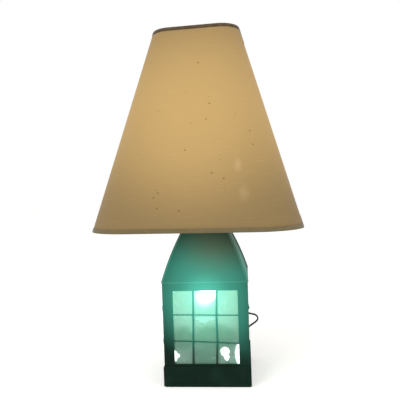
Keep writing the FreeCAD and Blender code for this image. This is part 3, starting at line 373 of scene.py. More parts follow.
def shade_ring(height, outward=0.0, dent=0.0):
    """Places round the shade at a height in millimetres, and the distance of each along the outline."""
    half = shade_half(height) + outward
    corner = CORNER_LOW + (CORNER_HIGH - CORNER_LOW) * shade_share(height) + outward
    flat = half - corner
    places, along, total = [], [], 0.0
    for side in range(4):
        quarter = Matrix.Rotation(math.pi / 2 * side, 3, "Z")
        row = []
        for i in range(FLAT_POINTS):
            x = -flat + 2 * flat * i / FLAT_POINTS
            hollow = dent * (1 - (x / flat) ** 2) ** 2
            row.append(Vector((x, -half + hollow, 0)))
        for i in range(CORNER_POINTS):
            a = -math.pi / 2 + math.pi / 2 * i / CORNER_POINTS
            row.append(Vector((flat + corner * math.cos(a), -flat + corner * math.sin(a), 0)))
        places += [SHADE_SPIN @ quarter @ p for p in row]
    for i, place in enumerate(places):
        along.append(total)
        total += (places[(i + 1) % len(places)] - place).length
    return [Vector((p.x, p.y, height)) * MM for p in places], along


print("shade slope", round(math.hypot(SHADE_HIGH - SHADE_LOW, HALF_LOW - HALF_HIGH), 1), "mm")

# %% [markdown]
# The cloth is one closed sheet with thickness. Real laminated cloth isn't dead flat: between the wire rings
# its faces draw in by under a millimetre. The mesh carries a UV map in metres, of the distance round the
# shade and the height, so that the weave can run level and upright on every face.

# %% Cloth of the shade
CLOTH_STEPS = 28
heights = [SHADE_LOW + (SHADE_HIGH - SHADE_LOW) * i / CLOTH_STEPS for i in range(CLOTH_STEPS + 1)]
# rows of (height, outward, dent), up the outside of the cloth and down its inside
rows = [(h, 0.0, cloth_dent(h)) for h in heights]
rows += [(h, -CLOTH_THICK, dent) for h, _, dent in reversed(rows)]
rings = [shade_ring(*row)[0] for row in rows]
cloth = make_piece("linen_shade", "shade", *skinned(rings, loop=True))
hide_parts("shade_skin")
uv_layer = cloth.data.uv_layers.new(name="cloth_metres")
ring_size = len(rings[0])
perimeters = [shade_ring(*row)[1] for row in rows]
for polygon in cloth.data.polygons:
    columns = [v % ring_size for v in polygon.vertices]
    # a face that closes the ring takes the first column again, one step past the last
    closes = max(columns) - min(columns) > 1
    for loop_index, vertex in zip(polygon.loop_indices, polygon.vertices):
        row, column = divmod(vertex, ring_size)
        level = perimeters[row]
        reach = level[column] + (level[-1] + level[1] if closes and column == 0 else 0)
        uv_layer.data[loop_index].uv = ((reach - level[-1] / 2) * MM, rows[row][0] * MM)
print("cloth", len(cloth.data.vertices), "points")

# %% [markdown]
# A woven tape is folded over each rim and glued, dark brown at the top and greyer at the foot. Its section is
# a thin U. At the back, where the cloth's ends lap, a narrow strip of the same cloth stands up slightly.

# %% Binding tapes
TAPE_BAND = 5.0
# (distance in from the rim, outward) round the tape's U
TAPE_SECTION = [(TAPE_BAND, 0.05), (TAPE_BAND, 0.45), (TAPE_BAND * 0.5, 0.6), (0.4, 0.6), (-0.35, 0.2),
                (-0.35, -1.1), (0.4, -1.5), (TAPE_BAND * 0.6, -1.45), (TAPE_BAND * 0.6, -1.05), (0.1, -1.05),
                (0.1, 0.05)]


def make_tape(name, node, rim, inward):
    """A tape over a rim; inward is the way from the rim into the cloth, 1 at the foot and -1 at the top."""
    rings = [shade_ring(rim + inward * depth, out)[0] for depth, out in TAPE_SECTION]
    tape = make_piece(name, "shade", *skinned(rings, loop=True))
    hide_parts(node)
    return tape


top_tape = make_tape("top_tape", "shade_top_trim", SHADE_HIGH, -1)
foot_tape = make_tape("foot_tape", "shade_bottom_trim", SHADE_LOW, 1)
print("tape faces", len(top_tape.data.polygons), len(foot_tape.data.polygons))

# %% Back seam
SEAM_HALF, SEAM_UNDER, SEAM_OVER = 9, -0.05, 0.3
SEAM_STEPS = 24
seam_rings = []
for i in range(SEAM_STEPS + 1):
    height = SHADE_LOW + TAPE_BAND + (SHADE_HIGH - SHADE_LOW - 2 * TAPE_BAND) * i / SEAM_STEPS
    face = shade_half(height) - cloth_dent(height)
    strip = [(-SEAM_HALF, SEAM_UNDER), (-SEAM_HALF, SEAM_OVER),
             (SEAM_HALF, SEAM_OVER), (SEAM_HALF, SEAM_UNDER)]
    seam_rings.append([(SHADE_SPIN @ Vector((x, face + out, height))) * MM for x, out in strip])
back_seam = make_piece("back_seam", "shade", *skinned(seam_rings), smooth=False)
print("seam faces", len(back_seam.data.polygons))

# %% [markdown]
# The roof's four panels are folded together along the hips, which leaves a narrow double ridge that catches
# the light. The panels bow out, so the ridge follows an arc. A bead of the same sheet runs round the eave.

# %% Line of the hips
EAVE, ROOF_TOP = 155.3, 250.0
EAVE_HALF, TOP_HALF, BOW_RADIUS = 63.5, 22.5, 400.0
RIDGE_START, RIDGE_END, RIDGE_STEPS = EAVE + 0.5, ROOF_TOP - 0.3, 18
# (along the eave, outwards) of two thin folds side by side, which stand 1.1 mm proud
RIDGE_SHAPE = [(-1.7, -0.6), (-1.4, 0.7), (-0.8, 1.05), (-0.15, 0.9), (0, 0.45), (0.15, 0.9), (0.8, 1.05),
               (1.4, 0.7), (1.7, -0.6)]


def roof_half(height):
    """Half width of the bowed roof at a height."""
    chord = Vector((TOP_HALF - EAVE_HALF, ROOF_TOP - EAVE))
    across = Vector((-chord.y, chord.x)).normalized()
    rise = math.sqrt(BOW_RADIUS ** 2 - (chord.length / 2) ** 2)
    centre = Vector((EAVE_HALF + TOP_HALF, EAVE + ROOF_TOP)) / 2 + across * rise
    return centre.x + math.sqrt(BOW_RADIUS ** 2 - (height - centre.y) ** 2)


print("roof half width at mid height", round(roof_half(202), 1))

# %% Hip seams and eave bead
def joined(shapes):
    """Several shapes of (vertices, faces) as one."""
    verts, faces = [], []
    for more_verts, more_faces in shapes:
        faces += [tuple(i + len(verts) for i in face) for face in more_faces]
        verts += more_verts
    return verts, faces


folds = []
for sx, sy in ((1, 1), (-1, 1), (-1, -1), (1, -1)):
    out, level = Vector((sx, sy, 0.5)).normalized(), Vector((sx, -sy, 0)).normalized()
    rings = []
    for i in range(RIDGE_STEPS + 1):
        height = RIDGE_START + (RIDGE_END - RIDGE_START) * i / RIDGE_STEPS
        place = at(sx * roof_half(height), sy * roof_half(height), height)
        rings.append([place + (level * a + out * b) * MM for a, b in RIDGE_SHAPE])
    folds.append(skinned(rings))
hips = make_piece("hip_seams", "lantern", *joined(folds))

# (half width, height) round the bead
bead_shape = [(63.2, 155.35), (64.0, 155.35), (64.25, 155.7), (64.2, 156.2), (63.9, 156.5), (63.0, 156.6)]
bead_rings = [[at(*p) for p in ((-h, -h, z), (h, -h, z), (h, h, z), (-h, h, z))] for h, z in bead_shape]
bead = make_piece("eave_bead", "lantern", *skinned(bead_rings, loop=True), smooth=False)
print("hip faces", len(hips.data.polygons), "bead faces", len(bead.data.polygons))

# %% [markdown]
# The glazing bars are strips cut by hand and soldered at each crossing, the uprights in front. None is quite
# straight, and the lower crossbar falls to the right. A few given points bend each strip.

# %% Strips and solder
def bar_strip(points, half, front, back):
    """A strip with softened edges through (x, z) points of the window's own plane."""
    middle, flat = (front + back) / 2, half * 0.8
    shape = [(-half, middle), (-flat, back), (flat, back), (half, middle), (flat, front), (-flat, front)]
    rings = []
    for i, (x, z) in enumerate(points):
        before, after = points[max(i - 1, 0)], points[min(i + 1, len(points) - 1)]
        way = Vector((after[0] - before[0], after[1] - before[1])).normalized()
        side = Vector((-way.y, way.x))
        rings.append([Vector((x + side.x * a, y, z + side.y * a)) for a, y in shape])
    return skinned(rings)


def solder_dab(x, z, front):
    """A low round blob of solder over a crossing."""
    rings = []
    for radius, lift in ((2.3, 0.0), (1.9, 0.35), (1.2, 0.6), (0.3, 0.7)):
        rings.append([Vector((x + radius * math.cos(a), front - lift, z + radius * 1.15 * math.sin(a)))
                      for a in (math.radians(30 * i) for i in range(12))])
    return skinned(rings)


print("faces of a solder dab", len(solder_dab(0, 0, 0)[1]))

# %% Glazing bars
WINDOW_LOW, WINDOW_HIGH = 34.5, 143.5
# half width, front and back of each strip
CROSSBAR, LEFT_UPRIGHT, RIGHT_UPRIGHT = (0.95, 0.0, 0.8), (1.5, -0.5, 0.5), (1.45, -0.5, 0.5)
# widths and heights of the outer panes, to the middles of the strips
LEFT_PANES, RIGHT_PANES, TOP_PANES, FOOT_PANES = 29.2, 31.5, 36.3, 32.7
UNDER_FRAME = 2.5
DAB_FRONT = -0.45


def window_bars(width, wander):
    """All bars of one window that looks along +Y, its frame's inside face at y = 0, in millimetres."""
    half = width / 2
    left, right = -half + LEFT_PANES, half - RIGHT_PANES
    upper, lower = WINDOW_HIGH - TOP_PANES, WINDOW_LOW + FOOT_PANES
    low, high, reach = WINDOW_LOW - UNDER_FRAME, WINDOW_HIGH + UNDER_FRAME, half + UNDER_FRAME
    strips = [
        bar_strip([(-reach, upper + 0.5), (-14, upper + 0.1), (12, upper - wander), (reach, upper - 0.9)],
                  *CROSSBAR),
        bar_strip([(-reach, lower + 1.4), (-18, lower + 0.6), (14, lower - 1.0), (reach, lower - 2.9)],
                  *CROSSBAR),
        bar_strip([(left + 1.3, high), (left + wander, 100), (left - 0.6, 70), (left - 1.5, low)],
                  *LEFT_UPRIGHT),
        bar_strip([(right + 1.1, high), (right - wander, 104), (right - 0.2, 66), (right - 1.8, low)],
                  *RIGHT_UPRIGHT),
    ]
    dabs = [solder_dab(x, z, DAB_FRONT) for x in (left, right) for z in (upper, lower)]
    return strips, dabs


def placed(shapes, turn_angle, shift):
    """Joins shapes, turns them about Z, moves them, and gives metres."""
    spin = Matrix.Rotation(turn_angle, 3, "Z")
    verts, faces = joined(shapes)
    return [(spin @ v + Vector(shift)) * MM for v in verts], faces


# side, body, width, wander of the uprights, turn in degrees and place of each window
WINDOWS = (("door", "door", 96.0, 0.5, 0, (0, -62.5, 0)),
           ("left", "lantern", 92.0, 0.4, -90, (-62.5, 0, 0)),
           ("right", "lantern", 92.0, -0.3, 90, (62.5, 0, 0)))
bar_pieces, dab_pieces = [], []
for side, body, width, wander, angle, shift in WINDOWS:
    strips, dabs = window_bars(width, wander)
    bars = make_piece(f"{side}_glazing_bars", body, *placed(strips, math.radians(angle), shift))
    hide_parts(f"{side}_bars")
    bar_pieces.append(bars)
    dab_pieces.append(make_piece(f"{side}_solder_dabs", body, *placed(dabs, math.radians(angle), shift)))
print("bars", [p.name for p in bar_pieces])

# %% [markdown]
# Small fasteners finish the metalwork: a domed rivet through each hinge leaf and through the catch.

# %% Rivets
def rivet(place, out, radius):
    """A domed head on a side of the case; out is the way that side looks."""
    rings = []
    for share, lift in ((1.0, 0.0), (0.95, 0.25), (0.7, 0.5), (0.25, 0.6)):
        rings.append([(place + (Y_WAY * math.cos(a) + Z_WAY * math.sin(a)) * radius * share
                       + out * lift * radius) * MM for a in (math.radians(36 * i) for i in range(10))])
    return skinned(rings)


LEAF_FACE = 64.0
# the catch is level with the upper hinge
HINGE_LEVELS, HINGE_PIN_Y, CATCH_Y = (68.15, 117.15), -57.35, -60.0
# the middles of a hinge's two leaves, from its pin
CASE_LEAF, DOOR_LEAF = 6.4, -3.6
CASE_RIVET, DOOR_RIVET = 1.0, 0.9
case_rivets = [rivet(Vector((-LEAF_FACE, HINGE_PIN_Y + CASE_LEAF, z)), -X_WAY, CASE_RIVET)
               for z in HINGE_LEVELS]
door_rivets = [rivet(Vector((-LEAF_FACE, HINGE_PIN_Y + DOOR_LEAF, z)), -X_WAY, DOOR_RIVET)
               for z in HINGE_LEVELS]
door_rivets.append(rivet(Vector((LEAF_FACE, CATCH_Y, HINGE_LEVELS[1])), X_WAY, DOOR_RIVET))
rivets = [make_piece("case_rivets", "lantern", *joined(case_rivets)),
          make_piece("door_rivets", "door", *joined(door_rivets))]
print("rivets", len(case_rivets) + len(door_rivets))

# %% [markdown]
# Colours are written as sRGB hex values, as a paint chart gives them, and one function turns them to the
# linear values that shaders use. One function adds a node with its settings and links.

# %% Colour and node helpers
def linear(hex_colour):
    """Linear RGBA of an sRGB hex colour."""
    out = []
    for i in (1, 3, 5):
        value = int(hex_colour[i:i + 2], 16) / 255
        out.append(value / 12.92 if value <= 0.04045 else ((value + 0.055) / 1.055) ** 2.4)
    return (*out, 1.0)


def add_node(tree, kind, inputs=None, **settings):
    """Adds a node; an input given as a socket is linked, and one given as a value is set."""
    node = tree.nodes.new(kind)
    for name, value in settings.items():
        setattr(node, name, value)
    for key, value in (inputs or {}).items():
        if isinstance(value, bpy.types.NodeSocket):
            tree.links.new(value, node.inputs[key])
        else:
            node.inputs[key].default_value = value
    return node


def new_material(name):
    """A material and its empty node tree."""
    material = bpy.data.materials.new(name)
    material.use_nodes = True
    material.node_tree.nodes.clear()
    return material, material.node_tree


def surface(tree, shader):
    """Makes a shader the surface of its material."""
    add_node(tree, "ShaderNodeOutputMaterial", {"Surface": shader.outputs["BSDF"]})


def grain(mm):
    """Noise scale that gives features of about this many millimetres."""
    return 1 / (mm * MM)


def bands(mm):
    """Wave scale for one band every so many millimetres: a wave repeats every 0.314 at scale 1."""
    return 0.31416 / (mm * MM)


def dress(material, *pieces):
    """Gives pieces a material."""
    for piece in pieces:
        piece.data.materials.clear()
        piece.data.materials.append(material)


print("middle grey is", round(linear("#808080")[0], 3), "in linear light")

# %% [markdown]
# Both bulbs light what is round them, and a few marks sit at places of their own. One pattern falls off with
# the distance from a point, and the other fills soft ellipsoids with ragged edges. Both are worked out in
# the object's own frame, so that they stay put from every side. In a Mix node of colours, input 0 is the
# factor, 6 and 7 are the colours, and output 2 is the result.

# %% Glow and spots
RIPPLE_MM = 7
SPOT_EDGE = 1.08


def glow_near(tree, middle, near, far, peak):
    """A value that falls from peak to 0 between two distances from a point in the row frame."""
    coords = add_node(tree, "ShaderNodeTexCoord").outputs["Object"]
    away = add_node(tree, "ShaderNodeVectorMath", {0: coords, 1: middle}, operation="DISTANCE")
    fall = add_node(tree, "ShaderNodeMapRange", {"Value": away.outputs["Value"], "From Min": near,
                                                 "From Max": far, "To Min": peak, "To Max": 0.0},
                    interpolation_type="SMOOTHSTEP")
    return fall.outputs["Result"]


def spots(tree, wobble_mm, places, core=0.88):
    """1 in the core of soft ellipsoids of (x, y, z, half x, half y, half z) in millimetres, and 0 outside."""
    coords = add_node(tree, "ShaderNodeTexCoord").outputs["Object"]
    ripple = add_node(tree, "ShaderNodeTexNoise", {"Vector": coords, "Scale": grain(RIPPLE_MM),
                                                   "Detail": 1.0})
    uneven = add_node(tree, "ShaderNodeVectorMath", {0: ripple.outputs["Color"], 1: (0.5, 0.5, 0.5)},
                      operation="SUBTRACT")
    moved = add_node(tree, "ShaderNodeVectorMath", {0: uneven.outputs["Vector"], 1: (2 * wobble_mm * MM,) * 3,
                                                    2: coords}, operation="MULTIPLY_ADD")
    mask = None
    for x, y, z, *halves in places:
        scale = [1 / (half * MM) for half in halves]
        shift = [-centre * MM * factor for centre, factor in zip((x, y, z), scale)]
        local = add_node(tree, "ShaderNodeMapping", {"Vector": moved.outputs["Vector"], "Location": shift,
                                                     "Scale": scale})
        reach = add_node(tree, "ShaderNodeVectorMath", {0: local.outputs["Vector"]}, operation="LENGTH")
        inside = add_node(tree, "ShaderNodeMapRange", {"Value": reach.outputs["Value"], "From Min": core,
                                                       "From Max": SPOT_EDGE, "To Min": 1.0, "To Max": 0.0})
        inside = inside.outputs["Result"]
        mask = inside if mask is None else add_node(tree, "ShaderNodeMath", {0: mask, 1: inside},
                                                    operation="MAXIMUM").outputs["Value"]
    return mask


print("a band every 2.2 mm is wave scale", round(bands(2.2), 1))

# %% [markdown]
# Linen threads lie 0.5 mm apart. That is a third of a pixel here, so the weave is drawn at 2.2 mm, as coarse
# as it needs to show. Long thin slubs run along the weft, and small dark neps are caught in the yarn: the
# front has those of the photograph, and two paler spots. The cloth glows where the bulb behind it is near.

# %% Weave and slubs
WEAVE_MM, SLUB_MM = 2.2, 1.6
linen, tree = new_material("linen_laminate")
uv = add_node(tree, "ShaderNodeTexCoord").outputs["UV"]
warp, weft = (add_node(tree, "ShaderNodeTexWave", {"Vector": uv, "Scale": bands(WEAVE_MM), "Distortion": 1.2,
                                                   "Detail": 2.0, "Detail Scale": 2.0}, bands_direction=way)
              for way in "XY")
weave = add_node(tree, "ShaderNodeMath", {0: warp.outputs["Fac"], 1: weft.outputs["Fac"]},
                 operation="MULTIPLY")
long_way = add_node(tree, "ShaderNodeMapping", {"Vector": uv, "Scale": (0.06, 1.0, 1.0)})
slubs = add_node(tree, "ShaderNodeTexNoise", {"Vector": long_way.outputs["Vector"], "Scale": grain(SLUB_MM),
                                              "Detail": 3.0, "Roughness": 0.6})
slub_share = add_node(tree, "ShaderNodeMapRange", {"Value": slubs.outputs["Fac"], "From Min": 0.55,
                                                   "From Max": 0.8, "To Max": 0.3})
print("weave of", WEAVE_MM, "mm")

# %% Neps, pale spots and patches
NEP_PLACES = ((3, -82, 472), (18, -101, 411), (13, -108, 389), (72, -118, 370), (76, -124, 351),
              (-16, -117, 347), (-53, -131, 290), (-59, -132, 284), (-54, -137, 270), (-24, -140, 266),
              (20, -130, 315), (36, -134, 307))
NEP_HALVES = (1.1, 9.0, 1.1)
# two paler spots on the front of the cloth
PALE_SPOT_PLACES = ((62, -136, 285, 9, 12, 15), (55, -128, 324, 6, 12, 12))
NEP_SPACING_MM, PATCH_MM = 70, 120
front_neps = spots(tree, 0.3, [(*place, *NEP_HALVES) for place in NEP_PLACES])
flecks = add_node(tree, "ShaderNodeTexVoronoi", {"Vector": uv, "Scale": grain(NEP_SPACING_MM)},
                  voronoi_dimensions="2D")
other_neps = add_node(tree, "ShaderNodeMapRange", {"Value": flecks.outputs["Distance"], "From Min": 0.008,
                                                   "From Max": 0.016, "To Min": 0.6, "To Max": 0.0})
all_neps = add_node(tree, "ShaderNodeMath", {0: front_neps, 1: other_neps.outputs["Result"]},
                    operation="MAXIMUM")
neps = add_node(tree, "ShaderNodeMath", {0: all_neps.outputs["Value"], 1: 0.7}, operation="MULTIPLY")
pale_spots = spots(tree, 2.0, PALE_SPOT_PLACES, core=0.1)
patches = add_node(tree, "ShaderNodeTexNoise", {"Vector": uv, "Scale": grain(PATCH_MM), "Detail": 2.0})
patch_share = add_node(tree, "ShaderNodeMapRange", {"Value": patches.outputs["Fac"], "From Min": 0.35,
                                                    "From Max": 0.7, "To Max": 0.25})
print("neps on the front", len(NEP_PLACES))

# %% Linen laminate
# the bulb's middle, the distances where its glow starts to fall and ends, and its peak
SHADE_GLOW = (at(2, 0, 374), 90 * MM, 215 * MM, 0.34)
tone = linear("#8d754c")
for share, colour in ((weave.outputs["Value"], "#997f56"), (slub_share.outputs["Result"], "#b09a70"),
                      (patch_share.outputs["Result"], "#8d7650"), (pale_spots, "#a38b64"),
                      (neps.outputs["Value"], "#4f3a20")):
    tone = add_node(tree, "ShaderNodeMix", {0: share, 6: tone, 7: linear(colour)},
                    data_type="RGBA").outputs[2]
light = add_node(tree, "ShaderNodeMix", {0: neps.outputs["Value"], 6: linear("#ffd080"),
                                         7: linear("#8a6a3a")}, data_type="RGBA")
bump = add_node(tree, "ShaderNodeBump", {"Height": weave.outputs["Value"], "Strength": 0.25,
                                         "Distance": 0.3 * MM})
surface(tree, add_node(tree, "ShaderNodeBsdfPrincipled", {
    "Base Color": tone, "Roughness": 0.92, "Sheen Weight": 0.15, "Sheen Roughness": 0.5,
    "Specular IOR Level": 0.2, "Normal": bump.outputs["Normal"], "Emission Color": light.outputs[2],
    "Emission Strength": glow_near(tree, *SHADE_GLOW)}))
dress(linen, cloth, back_seam)
print("linen nodes", len(tree.nodes))

# %% [markdown]
# Binding tape is a ribbed ribbon: fine ribs every 0.8 mm across it, drawn at 1.5 mm.

# %% Grosgrain tapes
RIB_MM, WEAR_MM = 1.5, 9


def ribbed_tape(name, dark, light):
    """Ribs of two tones, worn paler in places."""
    material, tree = new_material(name)
    coords = add_node(tree, "ShaderNodeTexCoord").outputs["Object"]
    ribs = add_node(tree, "ShaderNodeTexWave", {"Vector": coords, "Scale": bands(RIB_MM), "Distortion": 0.5},
                    bands_direction="DIAGONAL")
    wear = add_node(tree, "ShaderNodeTexNoise", {"Vector": coords, "Scale": grain(WEAR_MM), "Detail": 3.0})
    worn = add_node(tree, "ShaderNodeMapRange", {"Value": wear.outputs["Fac"], "From Min": 0.45,
                                                 "From Max": 0.8, "To Max": 0.35})
    ribbed = add_node(tree, "ShaderNodeMix", {0: ribs.outputs["Fac"], 6: linear(dark), 7: linear(light)},
                      data_type="RGBA")
    tone = add_node(tree, "ShaderNodeMix", {0: worn.outputs["Result"], 6: ribbed.outputs[2],
                                            7: linear("#8a7450")}, data_type="RGBA")
    bump = add_node(tree, "ShaderNodeBump", {"Height": ribs.outputs["Fac"], "Strength": 0.4,
                                             "Distance": 0.2 * MM})
    surface(tree, add_node(tree, "ShaderNodeBsdfPrincipled", {
        "Base Color": tone.outputs[2], "Roughness": 0.85, "Sheen Weight": 0.2,
        "Normal": bump.outputs["Normal"]}))
    return material


dress(ribbed_tape("brown_grosgrain", "#3c2c17", "#57401f"), top_tape)
dress(ribbed_tape("drab_grosgrain", "#5d5134", "#786a45"), foot_tape)
print("tapes ribbed every", RIB_MM, "mm")

# %% [markdown]
# The lantern is tinplate brushed with oil enamel, a green that is nearly black. Brushing leaves faint upright
# streaks, and the paint is thin at the folds, where bare metal begins to show. Inside, the walls face the
# small bulb through pale glass, and the coat there is drawn a light sea green, paler than outside, which
# paints in the small bulb's light on it. The bulb's light spills on the paint around the window, which the
# real lamp shows strongly: it is painted in as a glow that gathers over the top pane and on the right stile,
# and turns warmer towards the roof's crown. Along the eave and hips the coat is drawn lighter, a painted
# highlight where the folds catch the light.

# %% Where the small bulb's light gathers
SMALL_BULB = at(0, -20, 137)
TOP_PANE = at(-1, -61.4, 135)
# each glow has a middle, the distances where it starts to fall and ends, and a peak; the spill's comes with
# the coat
PAINT_SPILL = (SMALL_BULB, 30 * MM, 116 * MM)
PANE_EDGE_GLOW = (TOP_PANE, 4 * MM, 42 * MM, 0.22)
RIGHT_STILE_GLOW = (at(60, -62, 74), 10 * MM, 50 * MM, 0.05)
CROWN_WARMTH = (at(20, -42, 236), 22 * MM, 90 * MM, 0.9)


def spilled_light(tree, spill):
    """Colour and strength of the small bulb's light on paint; spill is its peak."""
    crown = glow_near(tree, *CROWN_WARMTH)
    colour = add_node(tree, "ShaderNodeMix", {0: crown, 6: linear("#70ffde"), 7: linear("#a0bc96")},
                      data_type="RGBA")
    strength = glow_near(tree, *PAINT_SPILL, spill)
    for glow in (PANE_EDGE_GLOW, RIGHT_STILE_GLOW):
        strength = add_node(tree, "ShaderNodeMath", {0: strength, 1: glow_near(tree, *glow)},
                            operation="ADD").outputs["Value"]
    return colour.outputs[2], strength


print("small bulb to the pane", round((TOP_PANE - SMALL_BULB).length, 3))

# %% Green enamel on tinplate
STREAK_MM, CLOUD_MM = 1.8, 24
FOLD_RADIUS = 0.7 * MM
INNER_FACES = 62.8 * MM


def enamel(name, outer, streak, spill, inner=None):
    """Brushed enamel; inner is the colour of the faces inside the case, painted paler for the small bulb's
    light on them, and spill the painted glow by the window.
    """
    material, tree = new_material(name)
    coords = add_node(tree, "ShaderNodeTexCoord").outputs["Object"]
    brushed = add_node(tree, "ShaderNodeMapping", {"Vector": coords, "Scale": (1.0, 1.0, 0.12)})
    streaks = add_node(tree, "ShaderNodeTexNoise", {"Vector": brushed.outputs["Vector"],
                                                    "Scale": grain(STREAK_MM), "Detail": 4.0,
                                                    "Roughness": 0.6})
    clouds = add_node(tree, "ShaderNodeTexNoise", {"Vector": coords, "Scale": grain(CLOUD_MM), "Detail": 3.0})
    cloudy = add_node(tree, "ShaderNodeMapRange", {"Value": clouds.outputs["Fac"], "From Min": 0.5,
                                                   "From Max": 0.75, "To Max": 0.4})
    # where a rounded edge would turn away from the flat face, the coat is thin
    soft_edge = add_node(tree, "ShaderNodeBevel", {"Radius": FOLD_RADIUS}, samples=4)
    true_face = add_node(tree, "ShaderNodeNewGeometry").outputs["True Normal"]
    turned = add_node(tree, "ShaderNodeVectorMath", {0: soft_edge.outputs["Normal"], 1: true_face},
                      operation="DOT_PRODUCT")
    worn = add_node(tree, "ShaderNodeMapRange", {"Value": turned.outputs["Value"], "From Min": 0.97,
                                                 "From Max": 0.8, "To Max": 0.55})
    patchy = add_node(tree, "ShaderNodeMath", {0: worn.outputs["Result"], 1: streaks.outputs["Fac"]},
                      operation="MULTIPLY")
    tone = linear(outer)
    for share, colour in ((streaks.outputs["Fac"], streak), (cloudy.outputs["Result"], "#1d3a2e"),
                          (patchy.outputs["Value"], "#5f7568")):
        tone = add_node(tree, "ShaderNodeMix", {0: share, 6: tone, 7: linear(colour)},
                        data_type="RGBA").outputs[2]
    # painted light: the faces inside the case take a paler colour for the small bulb's light on them
    if inner:
        parts = add_node(tree, "ShaderNodeSeparateXYZ", {"Vector": coords})
        limits = []
        for axis in ("X", "Y"):
            size = add_node(tree, "ShaderNodeMath", {0: parts.outputs[axis]}, operation="ABSOLUTE")
            limits.append(add_node(tree, "ShaderNodeMath", {0: size.outputs["Value"], 1: INNER_FACES},
                                   operation="LESS_THAN").outputs["Value"])
        within = add_node(tree, "ShaderNodeMath", {0: limits[0], 1: limits[1]}, operation="MULTIPLY")
        pale = add_node(tree, "ShaderNodeMix", {0: clouds.outputs["Fac"], 6: linear(inner),
                                                7: linear("#4f7f6d")}, data_type="RGBA")
        tone = add_node(tree, "ShaderNodeMix", {0: within.outputs["Value"], 6: tone, 7: pale.outputs[2]},
                        data_type="RGBA").outputs[2]
    bump = add_node(tree, "ShaderNodeBump", {"Height": streaks.outputs["Fac"], "Strength": 0.12,
                                             "Distance": 0.4 * MM, "Normal": soft_edge.outputs["Normal"]})
    roughness = add_node(tree, "ShaderNodeMapRange", {"Value": clouds.outputs["Fac"], "To Min": 0.38,
                                                      "To Max": 0.6})
    light, strength = spilled_light(tree, spill)
    surface(tree, add_node(tree, "ShaderNodeBsdfPrincipled", {
        "Base Color": tone, "Roughness": roughness.outputs["Result"], "Specular IOR Level": 0.08,
        "Normal": bump.outputs["Normal"], "Emission Color": light, "Emission Strength": strength}))
    return material


outside_enamel = enamel("green_enamel", "#0c2018", "#12291f", spill=0.4)
# case and door frame: painted light, paler inside for the small bulb's light
enamel_lit_inside = enamel("green_enamel_lit_inside", "#0c2018", "#12291f", spill=0.4, inner="#54846f")
# eave bead and hip seams: a lighter copy of the enamel, a painted highlight where the folds catch the light
enamel_highlight = enamel("green_enamel_highlight", "#2f4f44", "#4c7265", spill=0.42)
dress(outside_enamel, nodes["roof_shell"], nodes["roof_cap"], nodes["plinth_band"], nodes["floor_pan"],
      nodes["door_catch"], nodes["hinge_case_leaves"], nodes["hinge_door_leaves"], *bar_pieces, *dab_pieces)
dress(enamel_lit_inside, nodes["case_shell"], nodes["door_frame"])
dress(enamel_highlight, hips, bead)
print("materials so far", len(bpy.data.materials))

# %% [markdown]
# The panes are hand-rolled art glass of a pale sea green, a little milky, so that the small bulb lights it
# from within; that light is painted in as a glow. Slow waves about 14 mm long bend what is seen through it,
# and seeds dot it. The door's pane has a few wisps of painted white light where the photograph shows white, in
# both lower corners, and faint painted reflections, a thin one at mid height. It is painted deeper in colour
# at the middle and foot, a painted shade where the small bulb's light is weaker, and its painted glow is
# nearly cyan beside the bulb.

# %% Painted light wisps and painted shade of the door's pane
# where the pane of the closed door lies, and how far its spots reach through it
DOOR_PANE, PANE_REACH = -60.4, 3.0
# each is (x, z, half width, half height)
# painted white light in both lower corners
WHITE_LIGHT_WISPS = ((-48.5, 46.2, 5.6, 9.0), (-44.0, 46.4, 3.6, 3.4), (27.0, 52.0, 7.4, 7.6), (29.2, 44.8, 4.2, 6.2),
         (48.6, 48.0, 7.6, 17.5))
# faint painted reflections, a thin one at mid height
FAINT_REFLECTION_WISPS = ((-1.0, 101.2, 15.0, 3.0), (-3.0, 98.0, 6.5, 2.6), (9.6, 42.7, 5.4, 0.9),
               (-22.5, 84.0, 1.0, 4.6))
# painted shade: deeper in colour where the small bulb's light is weaker
DIM_GLASS_SHADE = ((12, 72, 46, 25), (-34, 72, 26, 22), (-2, 46, 26, 22))


def in_door_pane(places):
    """Places in the pane of the closed door, as the spots pattern takes them."""
    return [(x, DOOR_PANE, z, half_x, PANE_REACH, half_z) for x, z, half_x, half_z in places]


glass, tree = new_material("rolled_sea_glass")
white = spots(tree, 1.2, in_door_pane(WHITE_LIGHT_WISPS))
faint = spots(tree, 0.8, in_door_pane(FAINT_REFLECTION_WISPS))
dim_shade = spots(tree, 1.5, in_door_pane(DIM_GLASS_SHADE), core=0.65)
print("wisps", len(WHITE_LIGHT_WISPS) + len(FAINT_REFLECTION_WISPS))

# %% Waves and seeds
WAVE_MM, SEED_SPACING_MM = 14, 9
coords = add_node(tree, "ShaderNodeTexCoord").outputs["Object"]
waves = add_node(tree, "ShaderNodeTexNoise", {"Vector": coords, "Scale": grain(WAVE_MM), "Detail": 1.0,
                                              "Distortion": 0.6})
seeds = add_node(tree, "ShaderNodeTexVoronoi", {"Vector": coords, "Scale": grain(SEED_SPACING_MM)})
seed_mask = add_node(tree, "ShaderNodeMapRange", {"Value": seeds.outputs["Distance"], "From Min": 0.03,
                                                  "From Max": 0.07, "To Min": 1.0, "To Max": 0.0})
height = add_node(tree, "ShaderNodeMath", {0: seed_mask.outputs["Result"], 1: 0.12, 2: waves.outputs["Fac"]},
                  operation="MULTIPLY_ADD")
bump = add_node(tree, "ShaderNodeBump", {"Height": height.outputs["Value"], "Strength": 0.5,
                                         "Distance": 0.8 * MM})
print("waves of", WAVE_MM, "mm, seeds", SEED_SPACING_MM, "mm apart")

